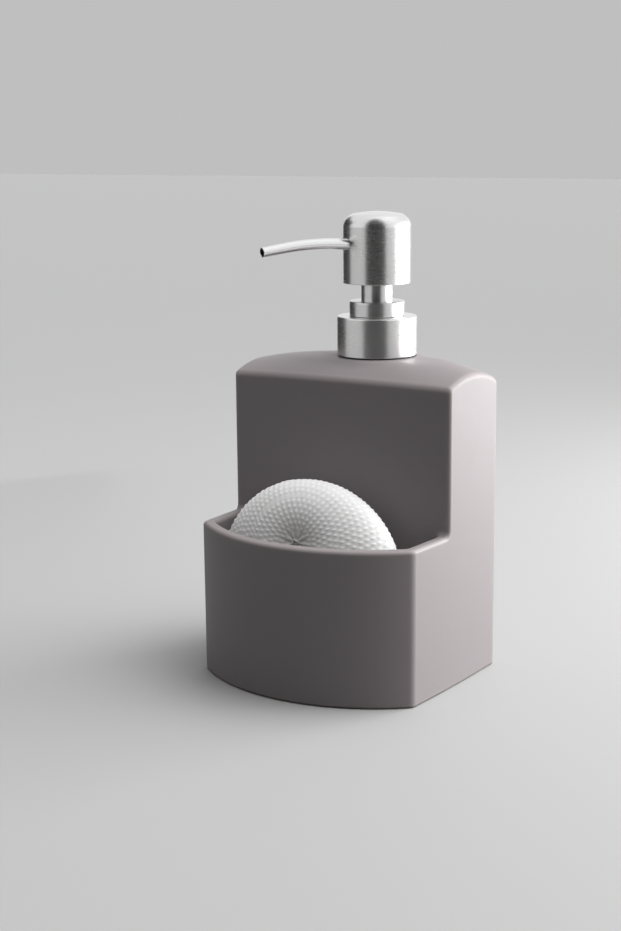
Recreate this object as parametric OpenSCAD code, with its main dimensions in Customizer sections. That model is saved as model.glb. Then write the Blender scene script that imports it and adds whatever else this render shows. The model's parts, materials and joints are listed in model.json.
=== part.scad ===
// Soap pump caddy: a one-piece ceramic bottle with an open pocket in front of it,
// a steel-clad lotion pump screwed to the bottle's neck, and a round mesh sponge in the pocket.
// X runs across, the pocket faces -Y and +Z is up. The origin lies on the table under the middle.

/* [Ceramic body] */
// Depth of the bottle's side, from its flat front to the back corner
bottle_side_d = 41; // [40:0.5:55]
// How far the back bows out past its corners
back_bow = 18.5; // [8:0.5:20]
// How far the pocket's front bows out past its corners
front_bow = 19.5; // [12:0.5:20]
// Radius of the gentle bow of each side
side_r = 910; // [220:10:1500]
// How far behind the bottle's flat front the body is widest
widest_back = 30; // [10:0.5:32]
// Height of the pocket's rim
rim_h = 62.8; // [50:0.2:75]
// Height of the roof at the bottle's corners
corner_h = 121.2; // [112:0.2:123]
// How much the roof's front and back edges arch up in the middle
front_arch = 0.5; // [0.5:0.1:3]
// How much the roof's side edges arch up in the middle
side_arch = 4.4; // [0.5:0.1:5]
// How much more the crown of the roof rises inside its edges
crown_rise = 3.9; // [3:0.1:7]
// How much lower the back edge of the roof is than the front edge
back_fall = 1.7; // [0:0.1:3]
// How far the flat land around the neck lies above the roof's corners
land_rise = 6.4; // [6:0.1:9]
// How far the flat land reaches past the insert's flange
land_w = 1.5; // [1.2:0.1:5]
// Thickness of the ceramic walls
wall = 5; // [4:0.1:6]
// Thickness of the ceramic floor
floor_t = 6; // [4:0.5:9]
// How much narrower the body is at its foot, on each side
base_draft = 0.1; // [0:0.1:1.5]
// Radius of the pocket's upright corners
pocket_corner_r = 4; // [3.5:0.5:12]
// Radius of the bottle's upright back corners
back_corner_r = 8; // [3.5:0.5:12]
// Radius of the bottle's upright front edges
face_edge_r = 1.6; // [1.5:0.1:3]
// Radius of the edge around the roof
roof_edge_r = 1.8; // [1.5:0.1:3]
// Radius of both edges of the pocket's rim
rim_r = 1.6; // [1:0.1:1.9]
// Radius of the fillet where the rim runs up into the bottle
rim_fillet_r = 2; // [2:0.5:6]
// Radius of the edge around the foot
foot_edge_r = 1.2; // [0.6:0.1:2]
// Width of the foot ring around the hollow under the base
foot_w = 8; // [6:0.5:12]
// Depth of the hollow under the base
foot_hollow = 0.8; // [0.4:0.1:1.5]
// Radius inside the pocket and the bottle along the floor
inside_r = 4; // [2:0.5:5]
// Radius inside the pocket and the bottle in the upright corners
inside_corner_r = 2.5; // [1.5:0.5:4]

/* [Neck] */
// How far the neck's axis lies behind the bottle's flat front
neck_back = 31; // [28:0.5:36]
// Thickness of the insert's plug
plug_wall = 1.7; // [1.2:0.1:2.2]
// Length of the insert's plug below the land
plug_l = 9.9; // [7:0.1:12]
// Clearance between the pump's cylinder and the insert
insert_gap = 0.5; // [0.2:0.1:0.8]
// How far the insert's flange reaches past the hole in the ceramic
flange_w = 3.5; // [2.5:0.1:3.6]
// Thickness of the insert's flange
flange_t = 1; // [0.6:0.1:1.2]
// Height of the threaded neck above the flange
neck_l = 10.2; // [9:0.1:10.2]
// Thickness of the neck under its thread
neck_wall = 2.5; // [2:0.1:3]
// Height of the thread ridge
thread_h = 1; // [0.8:0.1:1.2]
// Pitch of the thread
thread_pitch = 3.2; // [2.8:0.1:3.6]
// Number of turns of the thread
thread_turns = 1.5; // [1:0.25:2]
// Thickness of the gasket on the neck
gasket_t = 1.4; // [0.8:0.1:1.4]

/* [Closure] */
// Thickness of the closure's wall
closure_wall = 1.8; // [1.4:0.1:2.8]
// Gap between the ceramic land and the collar
collar_gap = 0.5; // [0.3:0.1:0.8]
// Thickness of the drawn steel sheet
sheet_t = 0.7; // [0.5:0.1:0.8]
// Thickness of the closure's top plate
closure_plate_t = 2; // [1.2:0.1:2]
// Clearance between the thread and the closure
thread_gap = 0.2; // [0.1:0.05:0.4]

/* [Pump] */
// Diameter of the steel ring on the collar
ring_d = 22.7; // [21.8:0.1:23.4]
// Height of the ring above the collar
ring_rise = 6.2; // [5:0.1:9]
// Length of stem that shows between the ring and the head
stem_show = 7.2; // [5:0.1:9]
// How far the stem reaches down into the ring
stem_depth = 4.2; // [3:0.1:5]
// How far the head travels when it is pressed
stroke = 13; // [10:0.5:13]
// Thickness of the guide's tube around the stem
guide_wall = 1.8; // [1.4:0.1:2.2]
// Thickness of the guide's floor around the piston rod
guide_floor_t = 2.2; // [1.5:0.1:3]
// Thickness of the cylinder's wide upper wall
barrel_top_wall = 1.2; // [0.9:0.1:1.5]
// Thickness of the cylinder's wall around the bore
barrel_wall = 1.2; // [1:0.1:1.5]
// Bore that the piston runs in
bore_d = 14; // [13:0.1:14.4]
// Clearance between the cylinder's flange and the closure
flange_gap = 1; // [0.7:0.1:1.4]
// Thickness of the cylinder's flange
barrel_flange_t = 1.2; // [0.8:0.1:1.4]
// Depth of the bore below the guide
bore_l = 38; // [36:0.5:42]
// Thickness of the cylinder's floor
barrel_floor_t = 2.5; // [2:0.1:4]
// Length of the socket that holds the dip tube
socket_l = 9.5; // [7:0.5:12]
// Outer diameter of that socket
socket_d = 11; // [10:0.1:12]
// Outer diameter of the dip tube
dip_d = 7.4; // [6.5:0.1:8]
// Bore of the dip tube
dip_bore_d = 5.4; // [4.5:0.1:5.8]
// Gap between the dip tube's end and the bottle's floor
dip_gap = 2.5; // [1.5:0.5:6]

/* [Piston, spring and valves] */
// Diameter of the piston rod
rod_d = 7; // [6.6:0.1:7.4]
// Bore of the piston rod
rod_bore_d = 3.4; // [2.8:0.1:3.6]
// Height of the piston
piston_h = 8; // [7:0.5:9]
// Height of each sealing lip of the piston
lip_h = 1.6; // [1:0.1:2.4]
// How far each lip stands out from the piston's waist
lip_w = 1.5; // [1:0.1:2]
// Thickness of the piston's floor
piston_floor_t = 2; // [1.4:0.1:2.6]
// Gap between the piston at rest and the guide
piston_gap = 1.5; // [1:0.1:3]
// Diameter of the hole that the outlet ball closes
outlet_seat_d = 3; // [2.4:0.1:3.2]
// Diameter of the outlet ball
outlet_ball_d = 4; // [3.8:0.1:4.2]
// Diameter of the hole that the inlet ball closes
inlet_seat_d = 4; // [3.4:0.1:4.4]
// Diameter of the inlet ball
inlet_ball_d = 6; // [5.6:0.1:6.2]
// How far each valve ball lifts
ball_lift = 1.5; // [1:0.1:2]
// Diameter of the cage around the inlet ball
cage_d = 9.4; // [9:0.1:9.8]
// Thickness of the cage's foot and of its top
cage_t = 1.4; // [1:0.1:1.6]
// Width of each window in the cage
cage_window_w = 2.4; // [1.5:0.1:3]
// Diameter of the spring wire
wire_d = 1; // [0.8:0.1:1.1]
// Clearance between the spring and the cylinder's bore
spring_gap = 0.6; // [0.5:0.1:0.8]
// Number of turns of the spring
spring_turns = 8; // [6:1:9]

/* [Pump head and spout] */
// Diameter of the steel head
head_d = 27.8; // [26:0.1:30]
// Height of the head from its lower edge to the crown
head_h = 29.2; // [25:0.1:30]
// Radius of the edge around the head's top
head_edge_r = 5.5; // [4:0.1:7]
// How much the head's top is crowned
head_crown = 0.8; // [0.3:0.1:1.2]
// Outer diameter of the core's hub inside the stem
hub_d = 11.4; // [10.4:0.1:11.5]
// How far the hub ends above the stem's lower edge
hub_step = 0.6; // [0.3:0.1:2]
// Height of the spout's root above the head's lower edge
spout_rise = 16; // [14:0.1:17]
// Direction of the spout, turned from straight ahead towards -X
spout_yaw = 30; // [0:5:360]
// Diameter of the spout at its root
spout_root_d = 4.8; // [4.4:0.1:5.2]
// Diameter of the spout at its tip
spout_tip_d = 4; // [3.6:0.1:4.3]
// Thickness of the spout's steel
spout_t = 0.3; // [0.2:0.05:0.4]
// Bore of the liner inside the spout
liner_bore_d = 2.2; // [1.8:0.1:2.4]
// How far the spout starts from the head's axis
spout_start = 8; // [7:0.1:9]
// Length of the straight root of the spout
spout_root_l = 12.5; // [8:0.5:16]
// Radius of the spout's bend
spout_bend_r = 120; // [100:5:160]
// How steeply the spout leaves the head upwards
spout_climb = 3; // [0:0.5:5]
// How steeply the spout's tip points down
spout_droop = 7.5; // [4:0.5:14]
// Length of the straight tip of the spout
spout_tip_l = 10; // [6:0.5:14]

/* [Sponge] */
// Diameter of the round sponge
sponge_d = 78.5; // [70:0.5:80]
// Thickness of the sponge
sponge_t = 34; // [28:0.5:36]
// How far the sponge leans back
sponge_lean = 8; // [0:1:12]
// Gap between the sponge and the ceramic behind and below it
sponge_gap = 0.4; // [0.3:0.1:1]
// Gap between the sponge and the pocket's front wall
sponge_front_gap = 3.7; // [1:0.1:6]
// Gap between the sponge and the pocket's wall on each side
sponge_side_gap = 7; // [3:0.5:12]
// Thickness of the knitted cover
cover_t = 1; // [0.8:0.1:1.6]
// Clearance between the cover and the foam inside
core_gap = 0.3; // [0.2:0.05:0.5]
// Sideways place of the gathered seam on the sponge's face
gather_x = 1; // [-12:1:12]
// Height of the gathered seam above the middle of the sponge's face
gather_up = 16; // [5:1:20]
// Radius of the hollow around the gathered seam
gather_r = 12; // [10:0.5:16]
// Depth of the hollow around the gathered seam
gather_depth = 3; // [1.5:0.5:4]
// Diameter of the hole that the seam draws together
gather_hole_d = 5; // [4:0.1:6]
// Height of the knot in that hole
knot_h = 2; // [1.4:0.1:2.6]

/* [Fits] */
// Clearance around what slides or turns in a bore
run_gap = 0.05; // [0.02:0.01:0.08]
// Clearance around what is pushed or glued in place
seat_gap = 0.1; // [0.05:0.01:0.15]
// Clearance between faces that turn over each other
face_gap = 0.08; // [0.05:0.01:0.15]
// Gap between a valve ball and its seat
ball_gap = 0.03; // [0.02:0.01:0.05]

/* [Hidden] */
$fn = 96;
// How far a cut runs past the face that it opens
overrun = 1;
// How far two joined shapes reach into each other
bite = 0.2;

// Fineness of the ceramic body's curves: segments along half a bow, a side, a corner and an edge
bow_n = 12;
side_n = 4;
corner_n = 6;
edge_n = 4;
dome_n = 7;
fillet_n = 6;
bar_fn = 16;
neck_fn = 72;
// How many times its own height the rim's fillet runs on up the bottle's rounded edge
fillet_run = 1.5;
// Power of the roof's crossways curve
crown_power = 2.5;

// The sponge's rounded section: half its reach along Y and Z as it leans
sponge_power = 2.4;
sponge_n = 14;
sponge_reach_power = sponge_power/(sponge_power - 1);
sponge_half_y = reach(sponge_d/2*sin(sponge_lean), sponge_t/2*cos(sponge_lean));
sponge_half_z = reach(sponge_d/2*cos(sponge_lean), sponge_t/2*sin(sponge_lean));

// The body's width and the pocket's depth, which leave room for the sponge
body_w = sponge_d + 2*(sponge_side_gap + wall);
pocket_d = sponge_gap + 2*sponge_half_y + sponge_front_gap + wall;

// Places of the body along Y, from the front of the pocket to the back
body_d = pocket_d + bottle_side_d + back_bow;
front_y = -body_d/2;
pocket_corner_y = front_y + front_bow;
face_y = front_y + pocket_d;
back_corner_y = face_y + bottle_side_d;
back_y = back_corner_y + back_bow;
neck_y = face_y + neck_back;

// Circles that the sides, the pocket's front and the back follow
side_c = [body_w/2 - side_r, face_y + widest_back];
front_r = bow_radius(side_x(pocket_corner_y), front_bow);
front_c = [0, front_y + front_r];
back_r = bow_radius(side_x(back_corner_y), back_bow);
back_c = [0, back_y - back_r];
// Direction in which the shared part of each side begins, just behind the bottle's front edge
side_start = asin((face_y + 2*face_edge_r - side_c.y)/side_r);

// Diameters about the neck's axis, from the stem outward
stem_bore_d = hub_d + 2*seat_gap;
stem_d = stem_bore_d + 2*sheet_t;
stem_hole_d = stem_d + 4*run_gap;
guide_tube_d = stem_hole_d + 2*guide_wall;
wide_bore_d = guide_tube_d + 2*seat_gap;
barrel_top_d = wide_bore_d + 2*barrel_top_wall;
insert_bore_d = barrel_top_d + 2*insert_gap;
plug_d = insert_bore_d + 2*plug_wall;
neck_hole_d = plug_d + 2*seat_gap;
insert_flange_d = neck_hole_d + 2*flange_w;
land_d = insert_flange_d + 2*land_w;
neck_d = insert_bore_d + 2*neck_wall;
thread_d = neck_d + 2*thread_h;
closure_bore_d = thread_d + 2*thread_gap;
closure_d = closure_bore_d + 2*closure_wall;
closure_hole_d = guide_tube_d + 4*seat_gap;
collar_bore_d = closure_d + 2*seat_gap;
collar_d = collar_bore_d + 2*sheet_t;
barrel_flange_d = closure_bore_d - 2*flange_gap;
guide_d = ring_d - 2*sheet_t - 2*seat_gap;

// Diameters inside the pump's cylinder
barrel_d = bore_d + 2*barrel_wall;
piston_waist_d = bore_d - 2*lip_w;
spring_d = bore_d - 2*spring_gap;

// Heights of the neck and the closure
land_h = corner_h + land_rise;
flange_z = land_h + flange_t;
neck_top_z = flange_z + neck_l;
gasket_top_z = neck_top_z + gasket_t;
barrel_top_z = gasket_top_z + barrel_flange_t;
plate_z = barrel_top_z + face_gap;
closure_top_z = plate_z + closure_plate_t;
closure_z = flange_z + face_gap;
collar_z = land_h + collar_gap;
collar_top_z = closure_top_z + sheet_t;

// Heights of the ring, the stem and the head
ring_z = collar_top_z + face_gap;
ring_top_z = collar_top_z + ring_rise;
guide_top_z = ring_top_z - sheet_t;
stem_z = ring_top_z - stem_depth;
head_z = ring_top_z + stem_show;
head_top_z = head_z + head_h;
core_z = ring_top_z + stroke + face_gap + sheet_t;
hub_z = stem_z + hub_step;
spout_z = head_z + spout_rise;
rod_top_z = spout_z - spout_root_d;

// Heights inside the pump cylinder
guide_bottom_z = stem_z - stroke - face_gap - guide_floor_t;
barrel_step_z = guide_bottom_z - barrel_floor_t;
bore_bottom_z = guide_bottom_z - bore_l;
barrel_bottom_z = bore_bottom_z - barrel_floor_t;
socket_z = barrel_bottom_z - socket_l;
dip_z = floor_t + dip_gap;
piston_top_z = guide_bottom_z - piston_gap;
piston_z = piston_top_z - piston_h;
rod_z = piston_z + piston_floor_t;
outlet_ball_z = rod_z + seat_rise(outlet_ball_d, outlet_seat_d) + ball_gap;
outlet_room_z = outlet_ball_z + outlet_ball_d/2 + ball_lift;
inlet_ball_z = bore_bottom_z + seat_rise(inlet_ball_d, inlet_seat_d) + ball_gap;
cage_foot_z = bore_bottom_z + cage_t;
cage_room_z = inlet_ball_z + inlet_ball_d/2 + ball_lift + face_gap;
cage_top_z = cage_room_z + cage_t;
spring_z = cage_foot_z;
spring_top_z = piston_z;

// Route of the spout in its own upright plane, as [distance from the axis, height]
spout_bend_turn = spout_climb + spout_droop;
spout_bend_n = 8;
spout_sides = 20;
spout_bend_at = [spout_start, spout_z] + spout_root_l*[cos(spout_climb), sin(spout_climb)];
spout_bend_c = spout_bend_at + spout_bend_r*[sin(spout_climb), -cos(spout_climb)];
spout_bend = [
    for (i = [0:spout_bend_n])
        let (a = spout_climb - spout_bend_turn*i/spout_bend_n)
            concat(spout_bend_c + spout_bend_r*[-sin(a), cos(a)], [a])
];
spout_bend_end = spout_bend[spout_bend_n];
spout_tip_at = [spout_bend_end.x, spout_bend_end.y]
    + spout_tip_l*[cos(spout_droop), -sin(spout_droop)];
spout_route = concat(
    [[spout_start, spout_z, spout_climb]], spout_bend,
    [concat(spout_tip_at, [-spout_droop])]
);
spout_length = spout_root_l + spout_tip_l + spout_bend_r*spout_bend_turn*PI/180;

// The sponge's place in the pocket
sponge_y = face_y - sponge_gap - sponge_half_y;
sponge_z = floor_t + sponge_gap + sponge_half_z;
gather_z = sponge_t/2
    *(1 - (norm([gather_x, gather_up])/(sponge_d/2))^sponge_power)^(1/sponge_power);

// The knot's outline as shares of its radius and its height
knot_shares = [[0, 0], [0.8, 0], [1, 0.4], [0.8, 0.8], [0.4, 1], [0, 1]];

// The thread ridge's half widths at its root and at its crest, as shares of the pitch
root_share = 0.25;
crest_share = 0.1;

// Fineness of the spring and of the thread
wire_sides = 6;
turn_steps = 12;
thread_steps = 24;

clay = [0.40, 0.365, 0.37];
steel = [0.74, 0.73, 0.72];
black_plastic = [0.07, 0.07, 0.075];
grey_rubber = [0.16, 0.16, 0.17];
clear_plastic = [0.86, 0.88, 0.89];
white_mesh = [0.90, 0.90, 0.88];
foam = [0.93, 0.90, 0.80];

// Radius of an arc from half its chord and its rise
function bow_radius(half_chord, rise) = (half_chord^2 + rise^2)/(2*rise);

// Half the body's width at a place along Y
function side_x(y) = side_c.x + sqrt(side_r^2 - (y - side_c.y)^2);

// Height of a ball's middle above the hole that it rests on
function seat_rise(ball_d, hole_d) = sqrt((ball_d/2)^2 - (hole_d/2)^2);

// How far the sponge's rounded outline reaches, from its two half sizes seen that way
function reach(a, b) = (a^sponge_reach_power + b^sponge_reach_power)^(1/sponge_reach_power);

// Where two circles meet, on the side that turn chooses
function meet(c1, r1, c2, r2, turn) =
    let (d = c2 - c1, q = norm(d), a = (r1^2 - r2^2 + q^2)/(2*q), h = sqrt(r1^2 - a^2))
        c1 + a*d/q + turn*h*[-d.y, d.x]/q;

function angle_of(c, p) = atan2(p.y - c.y, p.x - c.x);

// Points of an arc after its first one
function arc(c, r, a0, a1, n) =
    [for (i = [1:n]) let (a = a0 + (a1 - a0)*i/n) c + r*[cos(a), sin(a)]];

// Front part of half an outline: the pocket's bow and its corner, drawn in by inset
function fore_bowed(inset, r) =
    let (
        t = inset + r,
        c = meet(side_c, side_r - t, front_c, front_r - t, -1),
        a = angle_of(front_c, c),
        b = angle_of(side_c, c)
    )
        concat(
            [[0, front_y + inset]], arc(front_c, front_r - inset, -90, a, bow_n),
            arc(c, r, a, b, corner_n), arc(side_c, side_r - inset, b, side_start, side_n)
        );

// Front part of half an outline with a flat face at y and an upright edge of radius r
function fore_flat(y, inset, r) =
    let (
        cy = y + r,
        c = [side_c.x + sqrt((side_r - inset - r)^2 - (cy - side_c.y)^2), cy],
        b = angle_of(side_c, c)
    )
        concat(
            [[0, y], [c.x, y]], arc(c, r, -90, b, corner_n),
            arc(side_c, side_r - inset, b, side_start, 1)
        );

// Rear part of half an outline: the side, the back corner and the bowed back
function rear(inset, r) =
    let (
        t = inset + r,
        c = meet(side_c, side_r - t, back_c, back_r - t, 1),
        b = angle_of(side_c, c),
        a = angle_of(back_c, c)
    )
        concat(
            arc(side_c, side_r - inset, side_start, b, side_n), arc(c, r, b, a, corner_n),
            arc(back_c, back_r - inset, a, 90, bow_n)
        );

// Half an outline inside the pocket: inset from the front and sides, back_inset from the flat face
function pocket_half(inset, back_inset, r) =
    let (
        t = inset + r,
        c = meet(side_c, side_r - t, front_c, front_r - t, -1),
        a = angle_of(front_c, c),
        b = angle_of(side_c, c),
        y = face_y - back_inset,
        k = [side_c.x + sqrt((side_r - t)^2 - (y - r - side_c.y)^2), y - r],
        e = angle_of(side_c, k)
    )
        concat(
            [[0, front_y + inset]], arc(front_c, front_r - inset, -90, a, bow_n),
            arc(c, r, a, b, corner_n), arc(side_c, side_r - inset, b, e, side_n),
            arc(k, r, e, 90, corner_n), [[0, y]]
        );

// A whole outline from its right half
function whole(half) = concat(half, [for (i = [len(half) - 2:-1:1]) [-half[i].x, half[i].y]]);

function lift(outline, z) = [for (p = outline) [p.x, p.y, z]];

// Height of the roof over a point
function roof(p) =
    let (
        u = min(1, abs(p.x)/(body_w/2)),
        far = back_c.y + sqrt(back_r^2 - p.x^2),
        v = max(-1, min(1, 2*(p.y - face_y)/(far - face_y) - 1)),
        across = 1 - u^crown_power,
        along = 1 - v^2
    )
        min(
            land_h,
            corner_h + front_arch*across + side_arch*along + crown_rise*across*along
                - back_fall*(1 + v)/2
        );

function bottle_outline(inset) =
    whole(concat(
        fore_flat(face_y + inset, inset, max(face_edge_r - inset, face_edge_r/8)),
        rear(inset, back_corner_r - inset)
    ));

function body_outline(inset) =
    whole(concat(fore_bowed(inset, pocket_corner_r - inset), rear(inset, back_corner_r - inset)));

function cavity_outline(inset) =
    whole(concat(fore_flat(face_y + inset, inset, inside_corner_r), rear(inset, inside_corner_r)));

// Rings that close a dome: the last ring drawn in step by step to its middle
function dome(outline, drop) =
    let (middle = [0, neck_y])
        [
            for (i = [dome_n - 1:-1:1])
                [
                    for (q = outline)
                        let (p = middle + (q - middle)*i/dome_n) [p.x, p.y, roof(p) - drop]
                ]
        ];

// The angles at which the rings of a rounded edge are drawn
function edge_angles() = [for (i = [0:edge_n]) 90*i/edge_n];

// A closed solid through a stack of rings with equal numbers of points
module loft(rings) {
    n = len(rings[0]);
    last = (len(rings) - 1)*n;
    points = [for (ring = rings) each ring];
    sides = [
        for (k = [0:len(rings) - 2], i = [0:n - 1])
            let (j = (i + 1)%n, low = k*n, high = low + n)
                each [[low + i, high + i, high + j], [low + i, high + j, low + j]]
    ];
    bottom = [for (i = [0:n - 1]) i];
    top = [for (i = [n - 1:-1:0]) last + i];
    polyhedron(points, concat([bottom, top], sides));
}

// The body up to the rim, seen from outside
module body_outside() {
    foot = [
        for (a = edge_angles())
            lift(body_outline(base_draft + foot_edge_r*(1 - sin(a))), foot_edge_r*(1 - cos(a)))
    ];
    rim = [
        for (a = edge_angles())
            lift(body_outline(rim_r*(1 - cos(a))), rim_h - rim_r*(1 - sin(a)))
    ];
    hull() loft(concat(foot, rim));
}

// The bottle above the rim, seen from outside
module bottle_outside() {
    edge = [
        for (a = edge_angles())
            [
                for (p = bottle_outline(roof_edge_r*(1 - cos(a))))
                    [p.x, p.y, roof(p) - roof_edge_r*(1 - sin(a))]
            ]
    ];
    foot = lift(bottle_outline(0), rim_h - rim_r);
    hull() loft(concat([foot], edge, dome(bottle_outline(roof_edge_r), 0)));
}

// The space for the soap
module bottle_inside() {
    low = [
        for (a = edge_angles())
            lift(cavity_outline(wall + inside_r*(1 - sin(a))), floor_t + inside_r*(1 - cos(a)))
    ];
    high = [
        for (a = edge_angles())
            [
                for (p = cavity_outline(wall + inside_r*(1 - cos(a))))
                    [p.x, p.y, roof(p) - wall - inside_r*(1 - sin(a))]
            ]
    ];
    hull() loft(concat(low, high, dome(cavity_outline(wall + inside_r), wall)));
}

// The space inside the pocket, below the rounded rim
module pocket_inside() {
    low = [
        for (a = edge_angles())
            let (draw = inside_r*(1 - sin(a)), z = floor_t + inside_r*(1 - cos(a)))
                lift(whole(pocket_half(wall + draw, draw, inside_corner_r)), z)
    ];
    top = lift(whole(pocket_half(wall, 0, inside_corner_r)), rim_h);
    hull() loft(concat(low, [top]));
}

// The cut that rounds the rim's inner edge
module rim_inside() {
    flare = [
        for (a = edge_angles())
            lift(
                whole(pocket_half(wall - rim_r*(1 - cos(a)), 0, inside_corner_r)),
                rim_h - rim_r*(1 - sin(a))
            )
    ];
    top = lift(whole(pocket_half(wall - rim_r, 0, inside_corner_r)), rim_h + overrun);
    loft(concat(flare, [top]));
}

// A thin slice of one side's rim, rounded on top
module rim_slice(side, y, z) {
    for (x = [side_x(y) - rim_r, side_x(y) - wall + rim_r], low = [z - rim_r, rim_h - 2*rim_r])
        translate([side*x, y, low])
            rotate([90, 0, 0])
                cylinder(r = rim_r, h = bite, $fn = bar_fn);
}

// The rim's run up into the bottle's upright edge
module rim_fillet(side) {
    for (i = [0:fillet_n - 1])
        hull()
            for (a = [90*i/fillet_n, 90*(i + 1)/fillet_n])
                rim_slice(side, face_y - rim_fillet_r*(1 - sin(a)), rim_h + rim_fillet_r*(1 - cos(a)));
    hull()
        for (i = [0, 1])
            rim_slice(side, face_y + face_edge_r*i, rim_h + rim_fillet_r*(1 + fillet_run*i));
}

// The hollow under the base, drawn in from the foot by the foot ring's width
module foot_inside() {
    half_w = side_x(face_y) - foot_w - pocket_corner_r;
    hull()
        for (side = [-1, 1], y = [pocket_corner_y + foot_w, back_corner_y - foot_w])
            translate([side*half_w, y, -overrun])
                cylinder(r = pocket_corner_r, h = overrun + foot_hollow, $fn = bar_fn);
}

module ceramic_body() {
    color(clay) {
        difference() {
            union() {
                body_outside();
                bottle_outside();
                translate([0, neck_y, corner_h])
                    cylinder(d1 = land_d + 2*wall, d2 = land_d, h = land_rise, $fn = neck_fn);
            }
            bottle_inside();
            pocket_inside();
            rim_inside();
            foot_inside();
            translate([0, neck_y, land_h - wall - overrun])
                cylinder(d = neck_hole_d, h = wall + 2*overrun, $fn = neck_fn);
        }
        for (side = [-1, 1])
            rim_fillet(side);
    }
}

// A tube about the neck's axis from z0 to z1
module tube(d, bore, z0, z1) {
    translate([0, neck_y, z0])
        difference() {
            cylinder(d = d, h = z1 - z0);
            translate([0, 0, -overrun])
                cylinder(d = bore, h = z1 - z0 + 2*overrun);
        }
}

// A ring of material about the neck's axis, from its outline as [radius, height]
module turned(outline) {
    translate([0, neck_y, 0])
        rotate_extrude()
            polygon(outline);
}

// A ball on the neck's axis
module ball(d, z) {
    translate([0, neck_y, z])
        sphere(d = d);
}

// The neck insert's thread: a ridge that winds up the neck
module thread_ridge() {
    base_r = neck_d/2 - bite;
    crest_r = thread_d/2;
    half_base = thread_pitch*root_share;
    half_crest = thread_pitch*crest_share;
    start_z = flange_z + thread_pitch;
    steps = thread_steps*thread_turns;
    translate([0, neck_y, start_z])
        loft([
            for (i = [0:steps])
                let (a = 360*i/thread_steps, z = thread_pitch*i/thread_steps, c = cos(a), s = sin(a))
                    [
                        [base_r*c, base_r*s, z - half_base], [base_r*c, base_r*s, z + half_base],
                        [crest_r*c, crest_r*s, z + half_crest], [crest_r*c, crest_r*s, z - half_crest]
                    ]
        ]);
}

module neck_insert() {
    color(black_plastic) {
        difference() {
            union() {
                turned([
                    [0, land_h - plug_l], [plug_d/2, land_h - plug_l], [plug_d/2, land_h],
                    [insert_flange_d/2, land_h], [insert_flange_d/2, flange_z], [neck_d/2, flange_z],
                    [neck_d/2, neck_top_z], [0, neck_top_z]
                ]);
                thread_ridge();
            }
            translate([0, neck_y, land_h - plug_l - overrun])
                cylinder(d = insert_bore_d, h = neck_top_z - land_h + plug_l + 2*overrun);
        }
    }
}

module neck_gasket() {
    color(grey_rubber)
        tube(barrel_flange_d, barrel_top_d + 2*seat_gap, neck_top_z, gasket_top_z);
}

module screw_closure() {
    color(black_plastic)
        turned([
            [closure_bore_d/2, closure_z], [closure_d/2, closure_z], [closure_d/2, closure_top_z],
            [closure_hole_d/2, closure_top_z], [closure_hole_d/2, plate_z], [closure_bore_d/2, plate_z]
        ]);
}

module collar_sleeve() {
    color(steel)
        turned([
            [collar_bore_d/2, collar_z], [collar_d/2, collar_z],
            [collar_d/2, collar_top_z - sheet_t/2], [collar_d/2 - sheet_t/2, collar_top_z],
            [closure_hole_d/2, collar_top_z], [closure_hole_d/2, closure_top_z],
            [collar_bore_d/2, closure_top_z]
        ]);
}

module guide_ring() {
    color(black_plastic)
        turned([
            [rod_d/2 + run_gap, guide_bottom_z], [guide_tube_d/2, guide_bottom_z],
            [guide_tube_d/2, ring_z], [guide_d/2, ring_z], [guide_d/2, guide_top_z],
            [stem_hole_d/2, guide_top_z], [stem_hole_d/2, guide_bottom_z + guide_floor_t],
            [rod_d/2 + run_gap, guide_bottom_z + guide_floor_t]
        ]);
}

module ring_sleeve() {
    color(steel)
        turned([
            [ring_d/2 - sheet_t, ring_z], [ring_d/2, ring_z], [ring_d/2, ring_top_z - sheet_t/2],
            [ring_d/2 - sheet_t/2, ring_top_z], [stem_hole_d/2, ring_top_z],
            [stem_hole_d/2, guide_top_z], [ring_d/2 - sheet_t, guide_top_z]
        ]);
}

module pump_cylinder() {
    wide_bore_r = wide_bore_d/2;
    color(clear_plastic)
        turned([
            [inlet_seat_d/2, barrel_bottom_z], [dip_d/2 + seat_gap, barrel_bottom_z],
            [dip_d/2 + seat_gap, socket_z], [socket_d/2, socket_z], [socket_d/2, barrel_bottom_z],
            [barrel_d/2, bore_bottom_z], [barrel_d/2, barrel_step_z],
            [barrel_top_d/2, guide_bottom_z], [barrel_top_d/2, gasket_top_z],
            [barrel_flange_d/2, gasket_top_z], [barrel_flange_d/2, barrel_top_z],
            [wide_bore_r, barrel_top_z], [wide_bore_r, guide_bottom_z], [bore_d/2, guide_bottom_z],
            [bore_d/2, bore_bottom_z], [inlet_seat_d/2, bore_bottom_z]
        ]);
}

// The dip tube, cut off slantwise at its lower end
module dip_tube() {
    color(clear_plastic)
        difference() {
            tube(dip_d, dip_bore_d, dip_z, barrel_bottom_z);
            translate([0, neck_y - dip_d/2, dip_z])
                rotate([45, 0, 0])
                    translate([-dip_d, -dip_d, -dip_d])
                        cube([2*dip_d, 2*dip_d, dip_d]);
        }
}

module ball_cage() {
    room_r = inlet_ball_d/2 + seat_gap;
    color(clear_plastic)
        difference() {
            turned([
                [room_r, bore_bottom_z], [bore_d/2 - run_gap, bore_bottom_z],
                [bore_d/2 - run_gap, cage_foot_z], [cage_d/2, cage_foot_z], [cage_d/2, cage_top_z],
                [rod_bore_d/2, cage_top_z], [rod_bore_d/2, cage_room_z], [room_r, cage_room_z]
            ]);
            for (turn = [0:120:240])
                translate([0, neck_y, cage_foot_z + cage_t/2])
                    rotate([0, 0, turn])
                        translate([room_r - bite, -cage_window_w/2, 0])
                            cube([cage_d, cage_window_w, cage_room_z - cage_foot_z - cage_t]);
        }
}

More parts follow.
